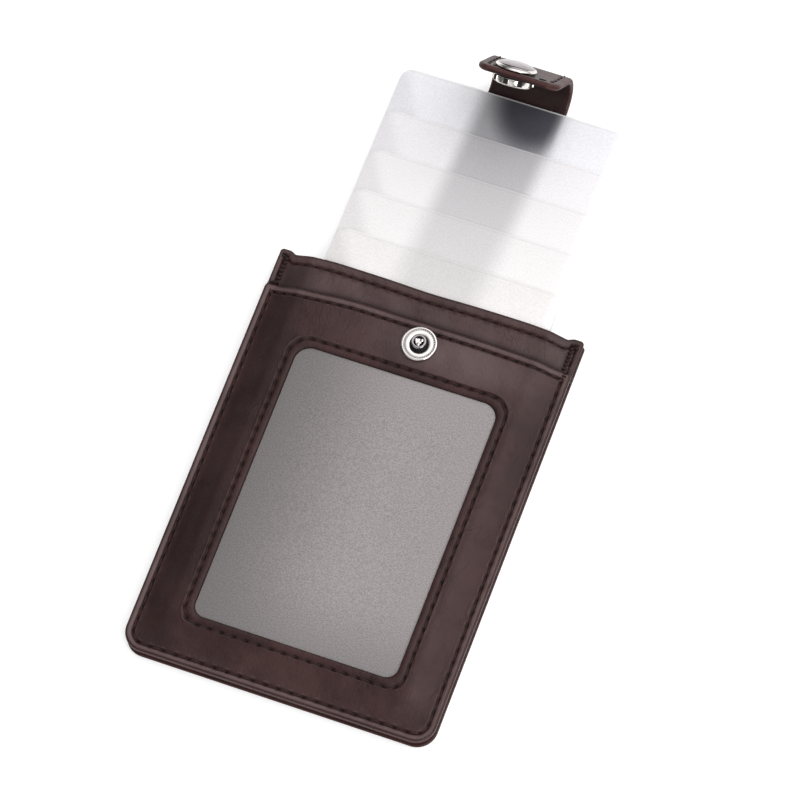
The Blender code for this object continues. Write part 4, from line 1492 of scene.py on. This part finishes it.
@dataclass
class Snap:
    """The stud, cap and socket of the snap, whose profiles are in millimetres."""

    looks: Finishes
    cap_tilt: float = math.radians(123.4)
    stud_place: Point = (2.3 * MM, 40.2735 * MM, 7.35 * MM)
    tip_place: Point = (2.3 * MM, 111.2089 * MM, 20.2923 * MM)
    tip_thickness: float = 1.6 * MM
    beads: int = 40
    lobes: int = 3
    lobe_turn: float = 0.11
    dome: tuple[float, float, float] = (4.56, 0.80, 0.98)
    window_pitch: float = 40.0
    window_depth: float = 0.30 * MM

    STUD = (
        (0.0, 0.25), (4.0, 0.12), (4.38, 0.22), (4.5, 0.42), (4.46, 0.62), (4.34, 0.74), (4.15, 0.78),
        (3.98, 0.77), (3.84, 0.70), (3.66, 0.67), (3.48, 0.71), (3.3, 0.74), (2.9, 0.74), (2.4, 0.70),
        (2.2, 0.60), (2.1, 0.45), (1.95, 0.42), (1.82, 0.55), (1.72, 0.95), (1.66, 1.5), (1.74, 1.85),
        (1.88, 2.05), (1.90, 2.2), (1.78, 2.34), (1.5, 2.38), (1.3, 2.3), (1.2, 2.0), (1.15, 1.4),
        (1.0, 1.2), (0.0, 1.15),
    )
    CAP = (
        (0.0, 0.05), (4.4, 0.05), (4.9, 0.10), (5.2, 0.20), (5.3, 0.34), (5.27, 0.48), (5.12, 0.66),
        (4.86, 0.86), (4.72, 0.92), (4.62, 0.84),
    )
    SOCKET = (
        (0.0, 0.1), (4.6, 0.1), (4.95, 0.3), (5.0, 0.5), (5.0, 1.82), (4.93, 2.06), (4.7, 2.2), (4.2, 2.2),
        (3.9, 2.0), (3.75, 1.2), (3.4, 0.8), (2.9, 0.8), (2.85, 1.6), (2.7, 2.1), (2.5, 2.25), (2.3, 2.15),
        (2.2, 1.8), (2.2, 0.8), (0.0, 0.8),
    )

    def ball(self, share: float, out: float, height: float, sizes: Point) -> Matrix:
        """Where a small ball of the stud goes, and how large it is.

        Args:
            share: Its direction from the middle, as a share of a turn.
            out: Its distance from the middle, in millimetres.
            height: Its height, in millimetres.
            sizes: Half its size outwards, sideways and up, in millimetres.

        Returns:
            Its matrix.
        """
        turn = FULL_TURN * share
        place = Matrix.Translation((out * MM * math.cos(turn), out * MM * math.sin(turn), height * MM))
        return place @ (Matrix.Rotation(turn, 4, "Z") @ Matrix.Diagonal((*(size * MM for size in sizes), 1)))

    def stud(self) -> None:
        """The stud: a dished flange with a beaded ring and a rolled post."""
        bm = turned(self.STUD)
        # Painted shade: the shaded copy of the nickel round the post and in the beaded ring's groove, and a
        # dark opening in the post's bore and well.
        paint(faces_where(bm, lambda out, *_: out < 2.15 or 3.47 < out < 3.98), 1)
        paint(faces_where(bm, lambda out, height, _: out < 1.25 or (out < 2.35 and height < 1.7)), 2)
        for index in range(self.beads):
            matrix = self.ball(index / self.beads, 3.72, 0.70, (0.22, 0.17, 0.12))
            bmesh.ops.create_icosphere(bm, subdivisions=1, radius=1.0, matrix=matrix)
        for index in range(self.lobes):
            matrix = self.ball(index / self.lobes + self.lobe_turn, 0.85, 1.9, (0.62, 0.52, 0.40))
            bmesh.ops.create_uvsphere(bm, u_segments=16, v_segments=10, radius=1.0, matrix=matrix)
        bmesh.ops.translate(bm, verts=bm.verts, vec=self.stud_place)
        others = (self.looks.cap, self.looks.shade_opening)
        finish_mesh("stud_plated", bm, self.looks.nickel, Body.CASE, ["snap_stud"], others)

    def at_tip(self, bm: bmesh.types.BMesh, outwards: bool) -> None:
        """Move a turned shape to the snap's place on the strap's tip.

        Args:
            bm: The shape, made round Z from 0 up.
            outwards: Whether it goes on the tip's outer face.
        """
        place = Matrix.Translation(self.tip_place) @ Matrix.Rotation(self.cap_tilt, 4, "X")
        flip = Matrix.Rotation(math.pi, 4, "X") if outwards else Matrix.Identity(4)
        shift = Matrix.Translation((0, 0, self.tip_thickness / 2))
        bmesh.ops.transform(bm, verts=bm.verts, matrix=place @ flip @ shift)

    def cap(self) -> None:
        """The cap: a polished dome with a rolled rim."""
        radius, foot, rise = self.dome
        turns = np.linspace(0, QUARTER_TURN, 13)[1:-1]
        dome = [(radius * math.cos(turn), foot + rise * math.sin(turn)) for turn in turns]
        bm = turned([*self.CAP, *dome, (0.0, foot + rise)])
        # Painted shade: the dome takes the shaded copy of the nickel, and only the rim takes the bright
        # nickel.
        paint(faces_where(bm, lambda out, *_: out > 4.68), 1)
        self.at_tip(bm, outwards=True)
        finish_mesh("cap_plated", bm, self.looks.cap, Body.TIP, ["snap_cap"], (self.looks.nickel,))

    def in_window(self, out: float, height: float, turn: float) -> bool:
        """Whether a face of the socket's wall, told as in faces_where, lies in a window."""
        return out > 4.85 and 0.7 < height < 1.7 and 8 < turn % self.window_pitch < 24

    def socket(self) -> None:
        """The socket: a rolled rim with windows in its wall, round a collar."""
        bm = turned(self.SOCKET)
        windows = faces_where(bm, self.in_window)
        bmesh.ops.inset_region(bm, faces=windows, thickness=0.05 * MM, depth=-self.window_depth)
        # Painted shade: the windows take the dark opening.
        paint(windows, 1)
        self.at_tip(bm, outwards=False)
        finish_mesh("socket_plated", bm, self.looks.nickel, Body.TIP, ["snap_socket"], (self.looks.shade_opening,))

    def build(self) -> None:
        """Build the snap's pieces."""
        self.stud()
        self.cap()
        self.socket()


# --------------------------------------------------------------------------- sleeves and strap


@dataclass
class Sleeves:
    """The five film sleeves, each built as one sealed pocket of film."""

    looks: Finishes
    form: CaseForm = CaseForm(counts=RingCounts(12, 12, 12))
    length: float = 94.0 * MM
    half_width: float = 29.6 * MM
    middle: float = 1.2 * MM
    low: float = 2.85 * MM
    pitch: float = 0.5 * MM
    thickness: float = 0.3 * MM
    rounded: float = 0.05 * MM
    foot_radius: float = 1.5 * MM
    head_radius: float = 3.3 * MM

    def ring(self, top: float, inset: float, height: float) -> np.ndarray:
        """A ring of a sleeve.

        Args:
            top: Where the sleeve's upper edge is.
            inset: How far inside the sleeve's outline the ring is.
            height: Its height.

        Returns:
            The ring.
        """
        half = self.half_width - inset
        across = (self.middle - half, self.middle + half)
        along = (top - self.length + inset, top - inset)
        flat = self.form.outline(across, along, self.foot_radius - inset, self.head_radius - inset)
        return raised(flat, height)

    def build(self) -> None:
        """Build the sleeves from the back to the front."""
        bodies = (Body.PULL, Body.SECOND, Body.THIRD, Body.FOURTH, Body.FIFTH)
        for index, (body, look) in enumerate(zip(bodies, self.looks.sleeves)):
            low = self.low + index * self.pitch
            high = low + self.thickness
            loft = Loft(self.ring(look.top, self.rounded, low))
            loft.add(self.ring(look.top, 0.0, low + self.rounded))
            loft.add(self.ring(look.top, 0.0, high - self.rounded))
            loft.add(self.ring(look.top, self.rounded, high))
            name = f"sleeve_{index + 1}"
            finish_mesh(f"{name}_film", loft.cap(), look, body, [f"{name}_back", f"{name}_front"])


@dataclass
class Strap:
    """The pull strap: its flat run, the bend and the curled tip."""

    looks: Finishes
    middle: float = 4.2 * MM
    foot_middle: float = -1.5 * MM
    height: float = 2.15 * MM
    foot: float = 19.0 * MM
    half_width: float = 10.4 * MM
    tip_half_width: float = 10.8 * MM
    run_thickness: float = 1.0 * MM
    tip_thickness: float = 1.6 * MM
    double_start: float = -0.4 * MM
    double_run: float = 2.2 * MM
    start: float = math.radians(3.0)
    lower: tuple[float, float] = (5.3 * MM, math.radians(62.0))
    upper: tuple[float, float] = (8.3 * MM, math.radians(58.4))
    plain: float = 14.4 * MM
    bend: tuple[float, float] = (-1.6 * MM, 2.6 * MM)
    corner: float = 3.6 * MM
    seam_inset: float = 2.3 * MM
    seam_start: float = 9.0 * MM
    seam_turn: float = 1.6 * MM
    groove_step: float = 0.25 * MM
    groove_depth: float = 0.22 * MM
    # The groove between the layers and the inner face take painted shade.
    layer_line: float = 0.12 * MM
    inner_shade: float = 0.80
    pitch: float = 3.0 * MM
    thread: float = 0.5 * MM

    GROOVE = ((-2, 0.0), (-1, 0.5), (0, 1.0), (1, 0.5), (2, 0.0))

    @property
    def length(self) -> float:
        """The tip's length from the fold to its end."""
        return self.lower[0] * self.lower[1] + self.upper[0] * self.upper[1] + self.plain

    def point(self, along: float) -> Point:
        """The middle line of the leather.

        Args:
            along: The length from the fold, negative on the flat run.

        Returns:
            Its place along the case, its height and its slope.
        """
        if along < 0:
            return FOLD_Y + along, self.height, 0.0
        (r0, a0), (r1, a1) = self.lower, self.upper
        slope = self.start + min(along, r0 * a0) / r0
        y = r0 * (math.sin(slope) - math.sin(self.start))
        z = r0 * (math.cos(self.start) - math.cos(slope))
        if along > r0 * a0:
            begin = slope
            slope = begin + min(along - r0 * a0, r1 * a1) / r1
            y += r1 * (math.sin(slope) - math.sin(begin))
            z += r1 * (math.cos(begin) - math.cos(slope))
        rest = max(along - r0 * a0 - r1 * a1, 0.0)
        return FOLD_Y + y + rest * math.cos(slope), self.height + z + rest * math.sin(slope), slope

    def place(self, across: float, along: float, offset: float) -> Vector:
        """A point on or in the leather.

        Args:
            across: How far from its middle line.
            along: The length from the fold.
            offset: How far above the middle of its thickness.

        Returns:
            The point.
        """
        y, z, slope = self.point(along)
        lean = (self.middle - self.foot_middle) / (FOLD_Y - self.foot)
        middle = self.middle + lean * min(along, 0.0)
        return Vector((middle + across, y - offset * math.sin(slope), z + offset * math.cos(slope)))

    def sizes(self, along: float) -> tuple[float, float]:
        """Half the width and half the thickness at a length from the fold.

        Args:
            along: The length.

        Returns:
            Half the width and half the thickness.
        """
        share = min(max(along / self.length, 0.0), 1.0)
        half = self.half_width + (self.tip_half_width - self.half_width) * share
        doubled = float(smooth((along - self.double_start) / self.double_run))
        thick = self.run_thickness + (self.tip_thickness - self.run_thickness) * doubled
        left = self.length - along
        if left < self.corner:
            half -= self.corner - math.sqrt(max(self.corner**2 - (self.corner - left) ** 2, 0.0))
        rounding = thick / 2
        if left < rounding:
            thick *= math.sqrt(max(1 - (1 - left / rounding) ** 2, 0.04))
        return half, thick / 2

    def ring(self, along: float) -> tuple[np.ndarray, np.ndarray, np.ndarray]:
        """A cross section with rounded sides.

        Args:
            along: The length from the fold.

        Returns:
            Its points, how far each is on the painted edge, and how much painted shade each has in the seam,
            at the line between the layers and on the inner face.
        """
        half, thick = self.sizes(along)
        seam_end = self.length - self.seam_inset
        sewn = float(smooth((along - self.seam_start) / MM) * smooth((seam_end - along) / MM))
        side = [(half - (self.seam_inset + step * self.groove_step), sink) for step, sink in self.GROOVE]
        between = [(share * (half - 4 * MM), 0.0) for share in np.linspace(-1, 1, 9)]
        across = [*((-place, sink) for place, sink in side), *between, *side[::-1]]
        outer = [(-half + thick, 0.0), *across, (half - thick, 0.0)]
        rows = []
        # Painted shade in the seam's groove on the outer face.
        for place, sink in outer:
            rows.append((place, -thick + self.groove_depth * sink * sewn, 0.0, 0.9 * sink * sewn))
        for way in (1, -1):
            # Painted shade in the groove between the two layers.
            for turn in way * np.linspace(-QUARTER_TURN, QUARTER_TURN, 9)[1:-1]:
                cut = self.layer_line if abs(turn) < 0.01 else 0.0
                reach = half - thick + (thick - cut) * math.cos(turn)
                rows.append((way * reach, thick * math.sin(turn), math.cos(turn) ** 0.5, 0.7 * (cut > 0)))
            # Painted shade on the inner face.
            if way > 0:
                rows += [(place, thick, 0.0, self.inner_shade) for place, _ in outer[::-1]]
        end = float(smooth(1 - (self.length - along) / (0.7 * MM)))
        points = np.array([self.place(place, along, offset) for place, offset, *_ in rows])
        painted, seam = np.array(rows).T[2:]
        return points, np.maximum(painted, end), seam

    def stretch(
        self, name: str, stations: Iterable[float], body: Body | None, nodes: Sequence[str] = ()
    ) -> bpy.types.Object:
        """Build the strap between two lengths.

        Args:
            name: The piece's name.
            stations: The lengths of its cross sections.
            body: The body it rides on, or nothing for the bend.
            nodes: The CAD nodes that it replaces.

        Returns:
            The piece.
        """
        rings = [self.ring(along) for along in stations]
        loft = Loft(rings[0][0], edge=rings[0][1], seam=rings[0][2])
        for points, painted, seam in rings[1:]:
            loft.add(points, edge=painted, seam=seam)
        return finish_mesh(name, loft.cap(), self.looks.strap, body, nodes)

    def seam(self) -> np.ndarray:
        """The line of the tip's seam on its outer face, up one side and down the other.

        Returns:
            Its points, N by 3.
        """
        half, end, turn = self.tip_half_width - self.seam_inset, self.length - self.seam_inset, self.seam_turn
        up = [(-half, along) for along in np.linspace(self.seam_start, end - turn, 30)]
        for angle in np.linspace(0, QUARTER_TURN, 8)[1:]:
            up.append((-half + turn * (1 - math.cos(angle)), end - turn + turn * math.sin(angle)))
        across = [(place, end) for place in np.linspace(turn - half, half - turn, 30)[1:-1]]
        down = [(-place, along) for place, along in reversed(up)]
        return np.array([self.place(*spot, -self.tip_thickness / 2) for spot in up + across + down])

    def outward(self, place: Vector) -> Vector:
        """The outer face's direction at a place on the tip.

        Args:
            place: The place.

        Returns:
            The direction.
        """
        lengths = np.linspace(0, self.length, 60)
        near = min(lengths, key=lambda s: (self.place(0, s, -self.tip_thickness / 2).yz - place.yz).length)
        slope = self.point(near)[2]
        return Vector((0, math.sin(slope), -math.cos(slope)))

    def build(self) -> None:
        """Build the strap's pieces."""
        bend_start, bend_end = self.bend
        run = np.linspace(self.foot - FOLD_Y, bend_start, 24)
        self.stretch("strap_run_leather", run, Body.PULL, ["strap_run"])
        bend = self.stretch("strap_bend_leather", np.linspace(bend_start, bend_end, 16), None)
        first, last = self.point(bend_start), self.point(bend_end)
        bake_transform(bend)
        tip = list(np.linspace(bend_end, self.length - self.corner, 44))
        tip += [self.length - self.corner * (1 - math.sin(a)) for a in np.linspace(0, QUARTER_TURN, 26)[1:-3]]
        tip += [self.length - left * MM for left in (0.12, 0.06, 0.02)]
        nodes = ["strap_tip_outer", "strap_tip_lining"]
        self.stretch("strap_tip_leather", sorted(set(tip)), Body.TIP, nodes)
        bm = bmesh.new()
        SeamLine(self.seam(), self.pitch).sew(bm, self.thread, self.outward)
        finish_mesh("strap_tip_stitches", bm, self.looks.thread, Body.TIP)


# --------------------------------------------------------------------------- the studio


@dataclass(frozen=True)
class SoftLight:
    """A soft light in the surroundings, brightest in its middle and gradual at its edge."""

    way: Point
    strength: float
    start: float
    full: float

    def glow(self, sheet: NodeSheet, looking: Socket) -> Socket:
        """Its strength in each direction.

        Args:
            sheet: The world's nodes.
            looking: The direction.

        Returns:
            The strength.
        """
        way = Vector(self.way).normalized()
        facing = sheet.add("VectorMath", {0: looking, 1: way}, operation="DOT_PRODUCT").outputs["Value"]
        return sheet.spread(facing, self.start, self.full, 0.0, self.strength)


@dataclass
class PhotoStudio:
    """The camera, lights, floor and world."""

    looks: Finishes
    place: Point = (0.2581, -0.3806, 1.2073)
    right: Point = (0.9337, 0.3489, -0.0806)
    down: Point = (0.2987, -0.8830, -0.3621)
    forward: Point = (-0.1975, 0.3140, -0.9287)
    lens: float = 238.57
    target: Point = (0.0, 0.02, 0.0)
    box_place: Point = (0.75, -0.50, 0.70)
    box_size: tuple[float, float] = (0.60, 0.60)
    box_power: float = 5.0
    floor_half: float = 2.0
    floor_height: float = -0.3 * MM
    dim: float = 0.16
    lights: tuple[SoftLight, ...] = (
        SoftLight((0.38, 0.44, 0.81), 1.80, 0.50, 0.97),
        SoftLight((-0.95, 0.28, 0.10), 1.0, 0.90, 0.99),
        SoftLight((-0.20, -0.85, 0.50), 0.9, 0.75, 0.98),
    )

    def camera(self) -> None:
        """Set the camera where the photograph was taken from."""
        data = bpy.data.cameras.new("photo_camera")
        data.lens = self.lens
        data.sensor_width = 36.0
        data.clip_start = 0.05
        camera = bpy.data.objects.new("photo_camera", data)
        turn = Matrix((self.right, [-c for c in self.down], [-c for c in self.forward])).transposed()
        camera.matrix_world = Matrix.Translation(self.place) @ turn.to_4x4()
        bpy.context.scene.collection.objects.link(camera)
        bpy.context.scene.camera = camera

    def softbox(self) -> None:
        """Hang a soft square light beside the wallet, aimed at it."""
        data = bpy.data.lights.new("side_softbox", "AREA")
        data.shape = "RECTANGLE"
        data.size, data.size_y = self.box_size
        data.energy = self.box_power
        light = bpy.data.objects.new("side_softbox", data)
        aim = (Vector(self.box_place) - Vector(self.target)).to_track_quat("Z", "Y")
        light.matrix_world = Matrix.Translation(self.box_place) @ aim.to_matrix().to_4x4()
        bpy.context.scene.collection.objects.link(light)

    def floor(self) -> None:
        """Lay the white floor under the wallet."""
        bm = bmesh.new()
        bmesh.ops.create_grid(bm, x_segments=1, y_segments=1, size=self.floor_half)
        bmesh.ops.translate(bm, verts=bm.verts, vec=(0, 0, self.floor_height))
        mesh = bpy.data.meshes.new("studio_floor")
        bm.to_mesh(mesh)
        bm.free()
        floor = bpy.data.objects.new("studio_floor", mesh)
        bpy.context.scene.collection.objects.link(floor)
        self.looks.floor.put_on(floor)

    def world(self) -> None:
        """Even surroundings that brighten gradually towards each soft light."""
        world = bpy.data.worlds.new("studio")
        bpy.context.scene.world = world
        world.use_nodes = True
        sheet = NodeSheet(world.node_tree)
        looking = sheet.add("TexCoord").outputs["Generated"]
        strength: Any = self.dim
        for light in self.lights:
            strength = sheet.maths("ADD", light.glow(sheet, looking), strength)
        camera_sees = sheet.add("LightPath").outputs["Is Camera Ray"]
        strength = sheet.maths("MULTIPLY_ADD", camera_sees, sheet.maths("SUBTRACT", 1.0, strength), strength)
        sheet.feed(world.node_tree.nodes["Background"], {"Color": (*WHITE, 1.0), "Strength": strength})

    def build(self) -> None:
        """Set up the studio."""
        self.camera()
        self.floor()
        self.world()
        self.softbox()
        bpy.context.scene.view_settings.view_transform = "Standard"


# --------------------------------------------------------------------------- main


def main() -> None:
    """Build the wallet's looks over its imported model."""
    logging.basicConfig(level=logging.INFO, format="%(message)s")
    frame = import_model()
    looks = Finishes()
    form = CaseForm()
    PhotoStudio(looks).build()
    for assembly in (
        WindowPanel(form, looks),
        InnerPanel(form, looks),
        BackPanel(form, looks),
        EdgeGlue(CaseForm(counts=RingCounts(8, 12, 16)), looks),
        ThreadWraps(form, looks),
        WindowSheet(form, looks),
        Snap(looks),
        Sleeves(looks),
        Strap(looks),
    ):
        assembly.build()
    looks.cut_edge.put_on(frame["nodes"]["edge_welt"])
    looks.lining.put_on(frame["nodes"]["back_lining"])
    looks.nickel.put_on(frame["nodes"]["stud_eyelet"])


if __name__ == "__main__":
    main()
